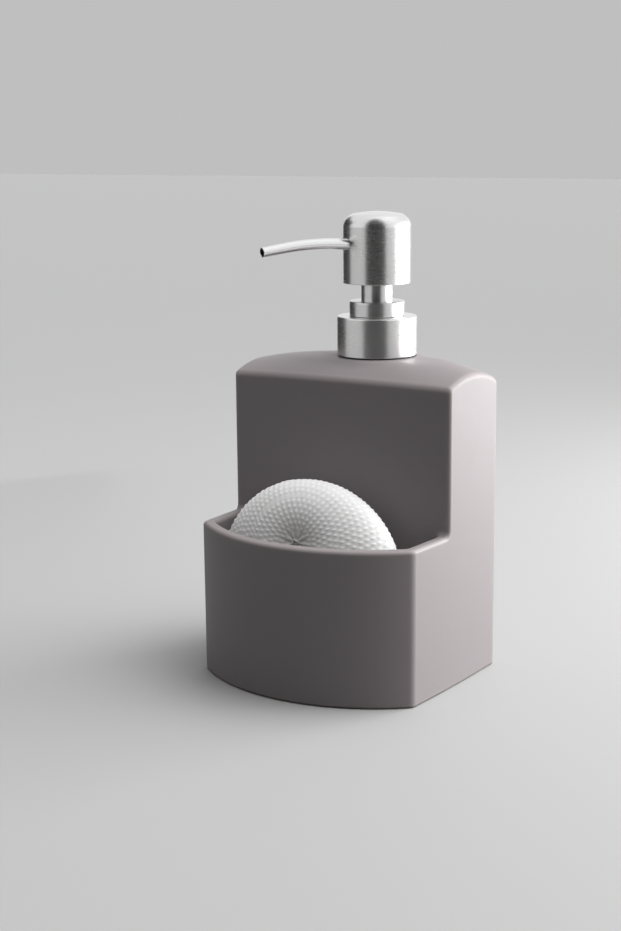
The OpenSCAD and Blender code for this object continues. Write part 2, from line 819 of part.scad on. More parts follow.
module inlet_ball() {
    color(steel)
        ball(inlet_ball_d, inlet_ball_z);
}

module outlet_ball() {
    color(steel)
        ball(outlet_ball_d, outlet_ball_z);
}

// The spring under the piston: one wire wound up from the cage's foot
module return_spring() {
    mean_r = (spring_d - wire_d)/2;
    rise = spring_top_z - spring_z - wire_d;
    steps = turn_steps*spring_turns;
    color(steel)
        translate([0, neck_y, spring_z + wire_d/2])
            loft([
                for (i = [0:steps])
                    let (a = 360*i/turn_steps)
                        [
                            for (k = [0:wire_sides - 1])
                                let (b = -360*k/wire_sides, r = mean_r + wire_d/2*cos(b))
                                    [r*cos(a), r*sin(a), rise*i/steps + wire_d/2*sin(b)]
                        ]
            ]);
}

module piston_seal() {
    lip_r = bore_d/2 - run_gap;
    lip_slope = (bore_d - piston_waist_d)/4;
    hole_r = rod_d/2 + seat_gap;
    color(white_mesh)
        turned([
            [outlet_seat_d/2, piston_z], [piston_waist_d/2, piston_z], [lip_r, piston_z + lip_slope],
            [lip_r, piston_z + lip_slope + lip_h], [piston_waist_d/2, piston_z + 2*lip_slope + lip_h],
            [piston_waist_d/2, piston_top_z - 2*lip_slope - lip_h],
            [lip_r, piston_top_z - lip_slope - lip_h], [lip_r, piston_top_z - lip_slope],
            [piston_waist_d/2, piston_top_z], [hole_r, piston_top_z], [hole_r, rod_z],
            [outlet_seat_d/2, rod_z]
        ]);
}

module piston_rod() {
    room_r = outlet_ball_d/2 + 2*seat_gap;
    color(clear_plastic)
        turned([
            [room_r, rod_z], [rod_d/2, rod_z], [rod_d/2, rod_top_z], [rod_bore_d/2, rod_top_z],
            [rod_bore_d/2, outlet_room_z], [room_r, outlet_room_z]
        ]);
}

module stem_sleeve() {
    color(steel)
        tube(stem_d, stem_bore_d, stem_z, core_z);
}

// The plastic core inside the head, with its hub down the stem and the channel to the spout
module head_core() {
    core_r = head_d/2 - sheet_t - seat_gap;
    edge_z = head_top_z - head_edge_r;
    top_z = head_top_z - sheet_t - head_crown - seat_gap;
    top_r = core_r - head_edge_r;
    channel_top_z = spout_z + liner_bore_d;
    color(black_plastic)
        difference() {
            turned([
                [0, hub_z], [hub_d/2, hub_z], [hub_d/2, core_z], [core_r, core_z], [core_r, edge_z],
                [top_r, top_z - seat_gap], [0, top_z - seat_gap]
            ]);
            translate([0, neck_y, hub_z - overrun])
                cylinder(d = rod_d + 2*run_gap, h = rod_top_z + face_gap - hub_z + overrun);
            translate([0, neck_y, rod_top_z])
                cylinder(d = rod_bore_d, h = channel_top_z - rod_top_z);
            spout_bore(liner_bore_d, -spout_start, spout_start);
            spout_bore(spout_root_d + 2*seat_gap, -seat_gap, head_d);
        }
}

// Turns what runs along +X from the neck's axis into the spout's direction
module spout_placed() {
    translate([0, neck_y, 0])
        rotate([0, 0, -90 - spout_yaw])
            children();
}

// A round bore in line with the spout's root, from a distance along it
module spout_bore(d, from, length) {
    spout_placed()
        translate([spout_start, 0, spout_z])
            rotate([0, 90 - spout_climb, 0])
                translate([0, 0, from])
                    cylinder(d = d, h = length);
}

module head_shell() {
    inner_r = head_d/2 - sheet_t;
    edge_z = head_top_z - head_crown - head_edge_r;
    edge_c = [head_d/2 - head_edge_r, edge_z];
    crown_r = bow_radius(edge_c.x, head_crown);
    crown_c = [0, head_top_z - crown_r];
    crown_a = angle_of(crown_c, edge_c + [0, head_edge_r]);
    color(steel)
        difference() {
            turned(concat(
                [[inner_r, head_z], [head_d/2, head_z]],
                arc(edge_c, head_edge_r, 0, 90, edge_n*2),
                arc(crown_c, crown_r, crown_a, 90, edge_n),
                [[0, head_top_z - sheet_t]],
                [[edge_c.x, edge_z + head_edge_r - sheet_t]],
                arc(edge_c, head_edge_r - sheet_t, 90, 0, edge_n*2)
            ));
            spout_bore(spout_root_d + 2*seat_gap, -seat_gap, head_d);
        }
}

// Diameter of the spout at a share of its length
function spout_d(share) = spout_root_d + (spout_tip_d - spout_root_d)*share;

// A ring across the spout's route at a point given as [distance, height, slope], of radius r
function spout_ring(at, r) =
    [
        for (k = [0:spout_sides - 1])
            let (b = 360*k/spout_sides)
                [at.x - r*cos(b)*sin(at.z), -r*sin(b), at.y + r*cos(b)*cos(at.z)]
    ];

// A tube along the spout's route: its outside is less_out inside the spout's, its bore is bore
module spout_pipe(less_out, less_in, bore) {
    last = len(spout_route) - 1;
    far = [for (i = [0:last]) norm([spout_route[i].x - spout_start, spout_route[i].y - spout_z])];
    outer = [for (i = [0:last]) spout_ring(spout_route[i], spout_d(far[i]/far[last])/2 - less_out)];
    inner = [
        for (i = [last:-1:0])
            spout_ring(
                spout_route[i],
                bore > 0 ? bore/2 : spout_d(far[i]/far[last])/2 - less_in
            )
    ];
    rings = concat(outer, inner);
    n = spout_sides;
    count = len(rings);
    faces = [
        for (k = [0:count - 1], i = [0:n - 1])
            let (j = (i + 1)%n, low = k*n, high = ((k + 1)%count)*n)
                each [[low + i, high + j, high + i], [low + i, low + j, high + j]]
    ];
    spout_placed()
        polyhedron([for (ring = rings) each ring], faces);
}

module spout_tube() {
    color(steel)
        spout_pipe(0, spout_t, 0);
}

module spout_liner() {
    color(black_plastic)
        spout_pipe(spout_t + seat_gap, 0, liner_bore_d);
}

// Half the sponge's section drawn in by inset, as [radius, height over its middle plane]
function sponge_half(inset) =
    [
        for (i = [0:2*sponge_n])
            let (a = -90 + 90*i/sponge_n, c = cos(a), s = sin(a))
                [
                    (sponge_d/2 - inset)*abs(c)^(2/sponge_power),
                    (sponge_t/2 - inset)*sign(s)*abs(s)^(2/sponge_power)
                ]
    ];

// The sponge's form drawn in by inset, with the hollow around its seam
module sponge_form(inset) {
    sink = gather_r + inset;
    difference() {
        rotate_extrude()
            polygon(sponge_half(inset));
        translate([gather_x, gather_up, gather_z + gather_r - gather_depth])
            sphere(r = sink);
    }
}

// Puts the sponge, modelled lying on its back, into the pocket
module sponge_placed() {
    translate([0, sponge_y, sponge_z])
        rotate([90 - sponge_lean, 0, 0])
            children();
}

module sponge_core() {
    color(foam)
        sponge_placed()
            sponge_form(cover_t + core_gap);
}

module sponge_cover() {
    color(white_mesh)
        sponge_placed()
            difference() {
                sponge_form(0);
                sponge_form(cover_t);
                translate([gather_x, gather_up, 0])
                    cylinder(d = gather_hole_d, h = sponge_t);
            }
}

// The knot that ties the cover's gathered edge
module sponge_knot() {
    knot_r = gather_hole_d/2 - core_gap;
    knot_z = gather_z - gather_depth - cover_t;
    color(white_mesh)
        sponge_placed()
            translate([gather_x, gather_up, knot_z])
                rotate_extrude()
                    polygon([for (p = knot_shares) [knot_r*p.x, knot_h*p.y]]);
}

ceramic_body();
neck_insert();
neck_gasket();
screw_closure();
collar_sleeve();
guide_ring();
ring_sleeve();
pump_cylinder();
dip_tube();
ball_cage();
inlet_ball();
return_spring();
piston_seal();
piston_rod();
outlet_ball();
stem_sleeve();
head_core();
head_shell();
spout_tube();
spout_liner();
sponge_core();
sponge_cover();
sponge_knot();
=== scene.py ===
import json
import math

import bpy
import numpy as np
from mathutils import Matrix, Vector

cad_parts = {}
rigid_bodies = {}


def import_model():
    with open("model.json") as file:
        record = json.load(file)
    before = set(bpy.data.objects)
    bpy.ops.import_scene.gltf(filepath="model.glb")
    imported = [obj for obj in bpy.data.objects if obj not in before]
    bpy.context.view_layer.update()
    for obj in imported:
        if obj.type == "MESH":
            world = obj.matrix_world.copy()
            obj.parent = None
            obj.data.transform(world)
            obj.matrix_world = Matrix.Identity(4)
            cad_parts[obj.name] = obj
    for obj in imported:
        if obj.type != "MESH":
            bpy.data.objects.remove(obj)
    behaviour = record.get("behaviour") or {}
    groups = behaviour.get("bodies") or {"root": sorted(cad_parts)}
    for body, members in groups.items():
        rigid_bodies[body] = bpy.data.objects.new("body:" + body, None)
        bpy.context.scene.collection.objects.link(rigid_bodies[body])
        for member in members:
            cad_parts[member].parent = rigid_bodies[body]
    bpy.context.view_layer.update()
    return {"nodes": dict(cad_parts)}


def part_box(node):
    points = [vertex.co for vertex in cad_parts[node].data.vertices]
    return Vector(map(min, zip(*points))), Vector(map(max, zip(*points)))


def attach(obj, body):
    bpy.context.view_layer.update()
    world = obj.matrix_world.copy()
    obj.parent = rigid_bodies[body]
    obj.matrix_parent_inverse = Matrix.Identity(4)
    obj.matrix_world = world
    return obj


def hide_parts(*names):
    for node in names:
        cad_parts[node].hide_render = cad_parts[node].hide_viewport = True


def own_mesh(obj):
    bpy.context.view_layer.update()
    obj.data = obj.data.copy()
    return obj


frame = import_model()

import openvdb
from bpy.props import FloatProperty, FloatVectorProperty, IntProperty, PointerProperty
from bpy.types import Operator, Panel, PropertyGroup
from mathutils import Matrix, Vector

bl_info = {
    "name": "Soap pump caddy",
    "version": (1, 0, 0),
    "blender": (4, 5, 0),
    "location": "3D View > Sidebar > Caddy",
    "description": "Dresses the packed model of a ceramic soap bottle with a sponge pocket",
    "category": "Object",
}

MM = 0.001
PHOTO_LONG_SIDE = 931    # pixels

# Sizes that the solids share with the pieces made here
NECK_HOLE_FROM = 100*MM  # the neck's hole is cut from this height up
HEAD_R = 13.9*MM         # outside of the pump head
STEM_BORE_R = 5.8*MM
GUIDE_R = 8.4*MM         # the guide that the collar's hole goes round

# Small sizes that aren't worth a property
LAND_FOOT, LAND_EDGE = 5*MM, 0.8*MM    # widths of the soft steps round the land
EDGE_CHANGE = 6*MM       # height over which the rim's edge becomes the bottle's upright edge
ROOM_R = 4*MM            # edges of the soap space
FINE_R, NECK_EDGE_R = 0.3*MM, 0.4*MM    # edges inside and under the foot, and of the neck's hole
BEND_REACH = 1.1*MM      # how far the mesh feels for an edge
CREASE_R = 0.1*MM        # where a sleeve's sheet turns in
HOLE_PATCH = 3.6*MM      # half the width of the patch round the spout's hole
HOLE_PLAY, HOLE_EDGE_R = 0.1*MM, 0.12*MM    # play round the spout, the hole's edge
COVER_T = 2.6*MM         # room for the cover round the foam
KNOT_R, YARN_R, KNOT_H = 0.95*MM, 0.36*MM, 0.45*MM    # the knot, its yarn, its rise

# The stage: places are seen from AIM, angles in degrees, lengths in metres
AIM = Vector((0, 0, 0.09))
SKY_MIDDLE = (0.35, 0.21, 0.913)    # where the sky is brightest, over the caddy's right side
SKY_FALL = 8.0
FLOOR_REACH = 6.0
# name, azimuth, elevation, distance, width, height, radiance, mirrored by the metal
PANELS = (
    ("right_panel", 134, 2, 0.62, 0.58, 0.46, 9.8, True),
    ("back_window", 150, 4, 0.80, 0.22, 0.40, 5.0, True),
    ("left_panel", -68, 18, 0.70, 0.50, 0.50, 0.7, False),
)
# name, azimuths, elevations, tone
CARDS = (
    ("dark_card", (-9, 62), (-11, 84), 0.015),
    ("grey_card", (-128, -73), (-11, 40), 0.03),
)
CARD_FAR = 0.45
CARD_POINTS = (13, 11)


# Sizes and colours -----------------------------------------------------------------------------

def length(about, value):
    """A size in metres that shows as a length in the panel; value is in millimetres."""
    return FloatProperty(description=about, default=value*MM, precision=5, unit="LENGTH")


def angle(about, value):
    """An angle; value is in degrees."""
    return FloatProperty(description=about, default=math.radians(value), unit="ROTATION",
                         subtype="ANGLE")


def colour(about, value):
    """A linear colour."""
    return FloatVectorProperty(
        description=about, default=value, min=0, max=1, size=3, subtype="COLOR")


class CeramicSizes(PropertyGroup):
    """The one-piece ceramic body."""

    cell: length("Edge of a mesh cell of the ceramic", 1.0)
    side_r: length("Radius of the sides' bow", 910)
    widest_y: length("Place along Y where the body is widest", 23.02)
    front_bow: length("How far the pocket's front bows out", 19.5)
    back_bow: length("How far the back bows out", 18.5)
    face_y: length("Place along Y of the bottle's flat front", -6.98)
    back_corner_y: length("Place along Y where the back's bow begins", 34.02)
    rim_h: length("Height of the pocket's rim", 62.8)
    corner_h: length("Height of the roof at the bottle's corners", 121.2)
    front_arch: length("Rise of the roof along the front edge", 0.5)
    side_arch: length("Rise of the roof along the sides", 4.4)
    crown_rise: length("Rise of the roof towards its middle", 3.9)
    back_fall: length("Fall of the roof from front to back", 1.7)
    land_h: length("Height of the flat land under the pump", 127.6)
    land_r: length("Radius of the flat land under the pump", 17)
    wall: length("Thickness of the wall", 5)
    floor: length("Thickness of the floor", 6)
    draft: length("How far the foot draws in below the rim", 0.1)
    pocket_corner_r: length("Radius of the pocket's corners", 4)
    back_corner_r: length("Radius of the bottle's back corners", 8)
    inner_corner_r: length("Radius of the corners inside", 2.5)
    face_edge_r: length("Radius of the bottle's upright front edges", 1.6)
    roof_edge_r: length("Radius of the edge round the roof", 1.8)
    rim_r: length("Radius of the rim's two edges", 1.6)
    foot_edge_r: length("Radius of the edge round the foot", 1.2)
    nook_r: length("Radius where pocket walls meet the bottle and floor", 2)
    neck_hole_r: length("Radius of the hole for the neck insert", 12)
    foot_w: length("Width of the foot ring", 8)
    foot_hollow: length("Depth of the hollow under the base", 0.8)
    glaze: colour("Colour of the matt glaze", (0.245, 0.222, 0.228))
    glaze_edge: colour("Colour where the glaze runs thin on the edges", (0.335, 0.298, 0.298))


class SteelSizes(PropertyGroup):
    """The drawn steel pieces of the pump."""

    turns: IntProperty(description="Facets round each drawn piece", default=144, min=24)
    sheet: length("Thickness of the steel sheet", 0.7)
    rolled_r: length("Radius of the lower edges", 0.3)
    top_edge_r: length("Radius of the collar's and the ring's top edge", 0.7)
    hole_edge_r: length("Radius of the edges of the round holes", 0.2)
    head_edge_r: length("Radius of the head's upper edge", 5.5)
    head_crown: length("Rise of the head's top", 0.8)
    spout_yaw: angle("Turn of the spout from straight ahead", 30)
    spout_z: length("Height of the spout's axis at its root", 173.58)
    spout_start: length("Distance of the spout's start from the axis", 8)
    spout_root: length("Length of the spout's straight root", 12.5)
    spout_tip: length("Length of the spout's straight tip", 10)
    spout_bend_r: length("Radius of the spout's bend", 120)
    spout_climb: angle("Rise of the root", 3)
    spout_droop: angle("Fall of the tip", 7.5)
    root_d: length("Diameter of the spout at its root", 4.8)
    tip_d: length("Diameter of the spout at its tip", 4.0)
    tube_t: length("Thickness of the spout's wall", 0.3)
    satin: colour("Colour of the satin steel", (0.72, 0.715, 0.71))
    polished: colour("Colour of the spout", (0.78, 0.78, 0.78))


class SpongeSizes(PropertyGroup):
    """The round sponge in its knitted cover."""

    diameter: length("Height of the sponge, before it leans", 77.6)
    wide: FloatProperty(description="Width of the sponge over its height", default=1.09)
    aside: length("How far the sponge sits to the left", 2.6)
    thickness: length("Thickness of the sponge", 34)
    lean: angle("Lean of the sponge towards the bottle", 4)
    centre_y: length("Place of the sponge's middle along Y", -25.6)
    centre_z: length("Height of the sponge's middle", 45.0)
    gather_x: length("Place of the gather to the side", 1)
    gather_up: length("Place of the gather above the middle", 14.6)
    gather_depth: length("Depth of the hollow round the gather", 2.7)
    gather_r: length("Radius of the hollow round the gather", 10)
    row: length("Width of one row of stitches", 2.3)
    stitch: length("Width of one stitch", 2.3)
    relief: length("How far a stitch stands proud", 0.34)
    cloth_cell: length("Edge of a cell of the cloth while it is inflated", 5.2)
    swell: length("How far the inflated cover may move", 5)
    yarn: colour("Colour of the knitted cover", (0.92, 0.92, 0.92))
    # the colour between the stitches is painted shade
    yarn_shade: colour("Colour between the stitches", (0.75, 0.75, 0.75))
    # the gather's colour is partly a stain and partly painted shade in its hollow
    stain: colour("Colour in the drawn-up folds", (0.26, 0.245, 0.22))
    foam: colour("Colour of the foam inside", (0.86, 0.80, 0.62))


class StageSizes(PropertyGroup):
    """The camera, the floor and the light."""

    azimuth: angle("Turn of the camera round the object", 32.54)
    elevation: angle("Height of the camera over the horizon", 11.44)
    roll: angle("Roll of the camera", -0.54)
    distance: length("Distance from the camera to its target", 657.74)
    target_y: length("Place of the camera's target along Y", -28.13)
    target_z: length("Height of the camera's target", 90)
    lens_px: FloatProperty(
        description="Focal length in pixels of the photograph", default=1670.85)
    floor: colour("Colour of the floor as it is seen", (0.36, 0.36, 0.36))
    floor_dark: colour("Colour of the floor for the light it throws back", (0.09, 0.09, 0.09))
    backdrop: colour("Colour of the backdrop as it is seen", (0.52, 0.52, 0.52))
    room: colour("Colour of the room that the steel mirrors", (0.98, 0.98, 0.99))
    fill: FloatProperty(
        description="Strength of the even light from the sides", default=0.07, min=0)
    sky: FloatProperty(description="Strength of the light from above", default=7.0, min=0)


# Shader nodes ----------------------------------------------------------------------------------

class Value:
    """A number worked out by shader nodes, for use in Python expressions."""

    def __init__(self, finish, socket):
        self.finish = finish
        self.socket = socket

    def _maths(self, operation, other):
        return self.finish.value(
            "ShaderNodeMath", {"operation": operation}, {0: self, 1: other})

    def __add__(self, other):
        return self._maths("ADD", other)

    def __sub__(self, other):
        return self._maths("SUBTRACT", other)

    def __mul__(self, other):
        return self._maths("MULTIPLY", other)

    def __pow__(self, other):
        return self._maths("POWER", other)

    __radd__, __rmul__ = __add__, __mul__

    def clamped(self):
        """This value held between 0 and 1."""
        return self.finish.value("ShaderNodeClamp", {}, {"Value": self})


class Finish:
    """The nodes of one material or of the world."""

    def __init__(self, owner):
        owner.use_nodes = True
        self.owner = owner
        self.tree = owner.node_tree
        self.tree.nodes.clear()

    def node(self, kind, settings=(), inputs=()):
        """Adds a node: first its settings, then the values or links of its sockets."""
        made = self.tree.nodes.new(kind)
        for key, setting in dict(settings).items():
            setattr(made, key, setting)
        for key, given in dict(inputs).items():
            socket = self._find(made.inputs, key)
            given = getattr(given, "socket", given)
            if isinstance(given, bpy.types.NodeSocket):
                self.tree.links.new(given, socket)
            else:
                socket.default_value = given
        return made

    def value(self, kind, settings=(), inputs=(), output=0):
        """Adds a node and gives one of its outputs."""
        made = self.node(kind, settings, inputs)
        return Value(self, self._find(made.outputs, output))

    @staticmethod
    def _find(sockets, key):
        if isinstance(key, int):
            return sockets[key]
        for socket in sockets:
            if socket.identifier == key:
                return socket
        return sockets[key]

    def rays(self, *kinds):
        """1 for a ray of one of these kinds, and 0 for any other."""
        path = self.node("ShaderNodeLightPath")
        found = [Value(self, path.outputs[kind]) for kind in kinds]
        return sum(found[1:], found[0]).clamped()

    def place(self, stretch=(1, 1, 1)):
        """The place on the object in metres, stretched along each axis."""
        here = self.value("ShaderNodeTexCoord", output="Object")
        return self.value(
            "ShaderNodeVectorMath", {"operation": "MULTIPLY"},
            {"Vector": here, "Vector_001": stretch})

    def noise(self, scale, detail=3, stretch=(1, 1, 1), rough=0.5):
        """A soft pattern between 0 and 1; scale is in grains per metre."""
        return self.value(
            "ShaderNodeTexNoise", {},
            {"Vector": self.place(stretch), "Scale": scale, "Detail": detail,
             "Roughness": rough}, output="Fac")

    def attribute(self, name):
        """A number stored on the mesh."""
        return self.value("ShaderNodeAttribute", {"attribute_name": name}, output="Fac")

    def blend(self, factor, one, other):
        """A colour between two colours."""
        one, other = [c if isinstance(c, Value) else (*c, 1) for c in (one, other)]
        return self.value(
            "ShaderNodeMix", {"data_type": "RGBA"},
            {"Factor_Float": factor, "A_Color": one, "B_Color": other},
            output="Result_Color")

    def bump(self, height, depth, **under):
        """A normal from a height between 0 and 1, over a normal; depth is in metres."""
        inputs = {"Height": height, "Distance": depth, "Strength": 1.0, **under}
        return self.value("ShaderNodeBump", {}, inputs, output="Normal")

    def surface(self, **sockets):
        """Ends the tree with a Principled shader; underscores stand for spaces."""
        named = {key.replace("_", " "): given for key, given in sockets.items()}
        shader = self.value("ShaderNodeBsdfPrincipled", {}, named, output="BSDF")
        self.node("ShaderNodeOutputMaterial", {}, {"Surface": shader})
        return self.owner


def new_finish(name):
    return Finish(bpy.data.materials.new(name))


def shade(tone, factor, rise=0.0):
    """A darker or a lighter colour."""
    return tuple(min(1, factor*c + rise) for c in tone)


def matt_glaze(sizes):
    """Matt stoneware glaze, a little thinner and paler on the edges."""
    finish = new_finish("matt_glaze")
    edge = finish.attribute("edge")
    cloud = finish.noise(28, 3)
    grain = finish.noise(900, 4, rough=0.6)
    speck = finish.noise(2600, 2)
    thin = (edge*(0.62 + 0.5*cloud) + 0.10*(cloud - 0.5) + 0.05*(grain - 0.5)).clamped()
    base = finish.blend(thin, sizes.glaze, sizes.glaze_edge)
    rough = 0.50 + 0.07*(grain - 0.5) + 0.06*(cloud - 0.5)
    waves = finish.bump(finish.noise(110, 2), 0.00005)
    normal = finish.bump(grain*0.6 + speck*0.4, 0.00005, Normal=waves)
    return finish.surface(
        Base_Color=base, Roughness=rough, Normal=normal, IOR=1.38)


def satin_steel(name, tone, rough, lines=5200):
    """Steel turned and brushed round the pump's axis."""
    finish = new_finish(name)
    rings = finish.noise(1, 3, stretch=(40, 40, lines), rough=0.7)
    fine = finish.noise(1, 2, stretch=(90, 90, 3*lines), rough=0.6)
    smear = finish.noise(90, 3)
    base = finish.blend(
        (0.14*rings + 0.16*smear).clamped(), tone, shade(tone, 0.84))
    roughness = rough + 0.04*(rings - 0.5) + 0.04*(smear - 0.5)
    normal = finish.bump(rings*0.5 + fine*0.5, 0.000004)
    return finish.surface(
        Base_Color=base, Roughness=roughness, Metallic=1.0, Normal=normal)


def polished_steel(sizes):
    """The spout's brighter steel, with faint lines along the draw."""
    finish = new_finish("polished_steel")
    lines = finish.noise(700, 2)
    smear = finish.noise(160, 3)
    base = finish.blend(0.25*smear, sizes.polished, shade(sizes.polished, 0.82))
    return finish.surface(
        Base_Color=base, Roughness=0.17 + 0.06*(smear - 0.5) + 0.04*(lines - 0.5),
        Metallic=1.0, Normal=finish.bump(lines, 0.000002))


def moulded_plastic(name, tone, rough, clear=0.0):
    """Injection-moulded plastic with a fine spark-eroded grain and faint flow marks."""
    finish = new_finish(name)
    flow = finish.noise(60, 3, stretch=(1, 1, 0.35))
    grain = finish.noise(1600, 3)
    base = finish.blend((0.55*flow + 0.15*grain).clamped(), tone, shade(tone, 1.18, 0.006))
    return finish.surface(
        Base_Color=base, Roughness=rough + 0.12*(grain - 0.5) + 0.08*(flow - 0.5),
        Normal=finish.bump(grain, 0.00002), IOR=1.49, Coat_Weight=clear)


def moulded_rubber(name, tone):
    """Dull rubber with a dusty bloom."""
    finish = new_finish(name)
    bloom = finish.noise(220, 4, rough=0.65)
    grain = finish.noise(2200, 3)
    base = finish.blend(bloom, tone, shade(tone, 1.5, 0.01))
    return finish.surface(
        Base_Color=base, Roughness=0.72 + 0.12*(bloom - 0.5),
        Normal=finish.bump(grain, 0.00003))


def knitted_yarn(sizes):
    """White mesh yarn: its own colour on the stitches with painted shade between them, and darker
    in the gather, partly a stain and partly painted shade.
    """
    finish = new_finish("knitted_yarn")
    crest = finish.attribute("crest")
    drawn = finish.attribute("drawn")
    fibre = finish.noise(1, 4, stretch=(2600, 2600, 1500), rough=0.7)
    strand = finish.noise(900, 3)
    # painted shade between the stitches; the crests keep the yarn's own colour
    tone = finish.blend((0.15 + 0.85*crest + 0.25*(strand - 0.5)).clamped(),
                        sizes.yarn_shade, sizes.yarn)
    # the gather darkens the yarn: partly a stain, partly painted shade
    base = finish.blend((drawn*(0.75 + 0.5*(strand - 0.5))).clamped(), tone,
                        sizes.stain)
    normal = finish.bump(fibre*0.6 + strand*0.4, 0.00016)
    return finish.surface(
        Base_Color=base, Roughness=0.85 + 0.1*(fibre - 0.5), Normal=normal,
        Sheen_Weight=0.25, Sheen_Roughness=0.5, Subsurface_Weight=0.5,
        Subsurface_Radius=(1, 1, 0.94), Subsurface_Scale=0.010)


def open_foam(sizes):
    """Yellowish open-cell foam."""
    finish = new_finish("open_foam")
    pores = finish.value(
        "ShaderNodeTexVoronoi", {"feature": "F1"},
        {"Vector": finish.place(), "Scale": 900.0}, output="Distance")
    cloud = finish.noise(70, 3)
    # the pores get painted shade: darker in the hollows of the cells
    base = finish.blend((pores*0.9 + 0.2*(cloud - 0.5)).clamped(),
                        shade(sizes.foam, 0.72), sizes.foam)
    return finish.surface(
        Base_Color=base, Roughness=0.9 + 0.08*(cloud - 0.5),
        Normal=finish.bump(pores, 0.0003))


# Meshes ----------------------------------------------------------------------------------------

def mesh_piece(name, node, body, finish, points, faces, normals=None):
    """A smooth piece that takes a node's place, with its body and its finish."""
    mesh = bpy.data.meshes.new(name)
    mesh.from_pydata(np.asarray(points).tolist(), [], [list(map(int, f)) for f in faces])
    mesh.validate()
    mesh.materials.append(finish)
    mesh.shade_smooth()
    if normals is not None:
        mesh.normals_split_custom_set_from_vertices(np.asarray(normals).tolist())
    piece = bpy.data.objects.new(name, mesh)
    bpy.context.scene.collection.objects.link(piece)
    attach(piece, body)
    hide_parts(node)
    return piece


def store(mesh, name, numbers):
    """Keeps one number for each point of a mesh."""
    kept = mesh.attributes.new(name, "FLOAT", "POINT")
    kept.data.foreach_set("value", np.asarray(numbers, dtype=np.float32))


def paint(node, finish):
    """Gives a carried-over node its finish."""
    piece = frame["nodes"][node]
    if not piece.material_slots:
        piece.data.materials.append(finish)
    for slot in piece.material_slots:
        slot.material = finish


def pressed_spring(finish):
    """The return spring, carried over from its node as a smooth piece."""
    source = frame["nodes"]["return_spring"]
    points = [source.matrix_world @ v.co for v in source.data.vertices]
    faces = [f.vertices for f in source.data.polygons]
    coil = mesh_piece("spring_coil", "return_spring", "pump", finish, points,
                      faces)
    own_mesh(coil)


def axis_of(node):
    """Middle of a round node seen from above."""
    low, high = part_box(node)
    return np.array([(low[0] + high[0])/2, (low[1] + high[1])/2])


def unit(ways):
    """The ways, each with length 1."""
    return ways/np.linalg.norm(ways, axis=1)[:, None]


def run_along(path):
    """How far along a path each of its points lies."""
    return np.concatenate([[0], np.cumsum(np.linalg.norm(np.diff(path, axis=0), axis=1))])


def off_axis(points, middle=(0, 0)):
    """Distance of points from an upright line."""
    return np.hypot(points[:, 0] - middle[0], points[:, 1] - middle[1])


def strip(one, two):
    """Quads between two closed rings of point numbers."""
    return [list(quad) for quad in zip(one, one[1:] + one[:1], two[1:] + two[:1], two)]


def ring_quads(rings, sides, closed=True):
    """Quads between rings of points that follow each other, and back to the first."""
    numbers = np.arange(rings*sides).reshape(rings, sides).tolist()
    after = numbers[1:] + numbers[:1] if closed else numbers[1:]
    return [quad for one, two in zip(numbers, after) for quad in strip(one, two)]


def around(middles, across, over, radii, sides):
    """Rings of points about a path, and the way out at each point."""
    turn = (2*np.pi*np.arange(sides)/sides)[:, None]
    out = across[:, None]*np.cos(turn) + over[:, None]*np.sin(turn)
    return (middles[:, None] + out*np.reshape(radii, (-1, 1, 1))).reshape(-1, 3), out


def facing_out(points, faces, normals):
    """The faces, each turned the way that its points' normals look."""
    turned = []
    for face in faces:
        p = points[face]
        n = np.cross(p[-2] - p[0], p[-1] - p[-3])
        turned.append(face[::-1] if np.dot(n, normals[face].sum(axis=0)) < 0 else face)
    return turned


# The ceramic, as signed distances in metres: below zero inside the clay -------------------------

def both(a, b, r):
    """Where both are clay, with the outward edge rounded."""
    return np.minimum(np.maximum(a + r, b + r), 0) \
        + np.hypot(np.maximum(a + r, 0), np.maximum(b + r, 0)) - r


def either(a, b, r):
    """Where either is clay, with the inward corner filled to a radius."""
    return np.maximum(r, np.minimum(a, b)) \
        - np.hypot(np.maximum(r - a, 0), np.maximum(r - b, 0))


def bow_radius(half_chord, rise):
    return (half_chord**2 + rise**2)/(2*rise)


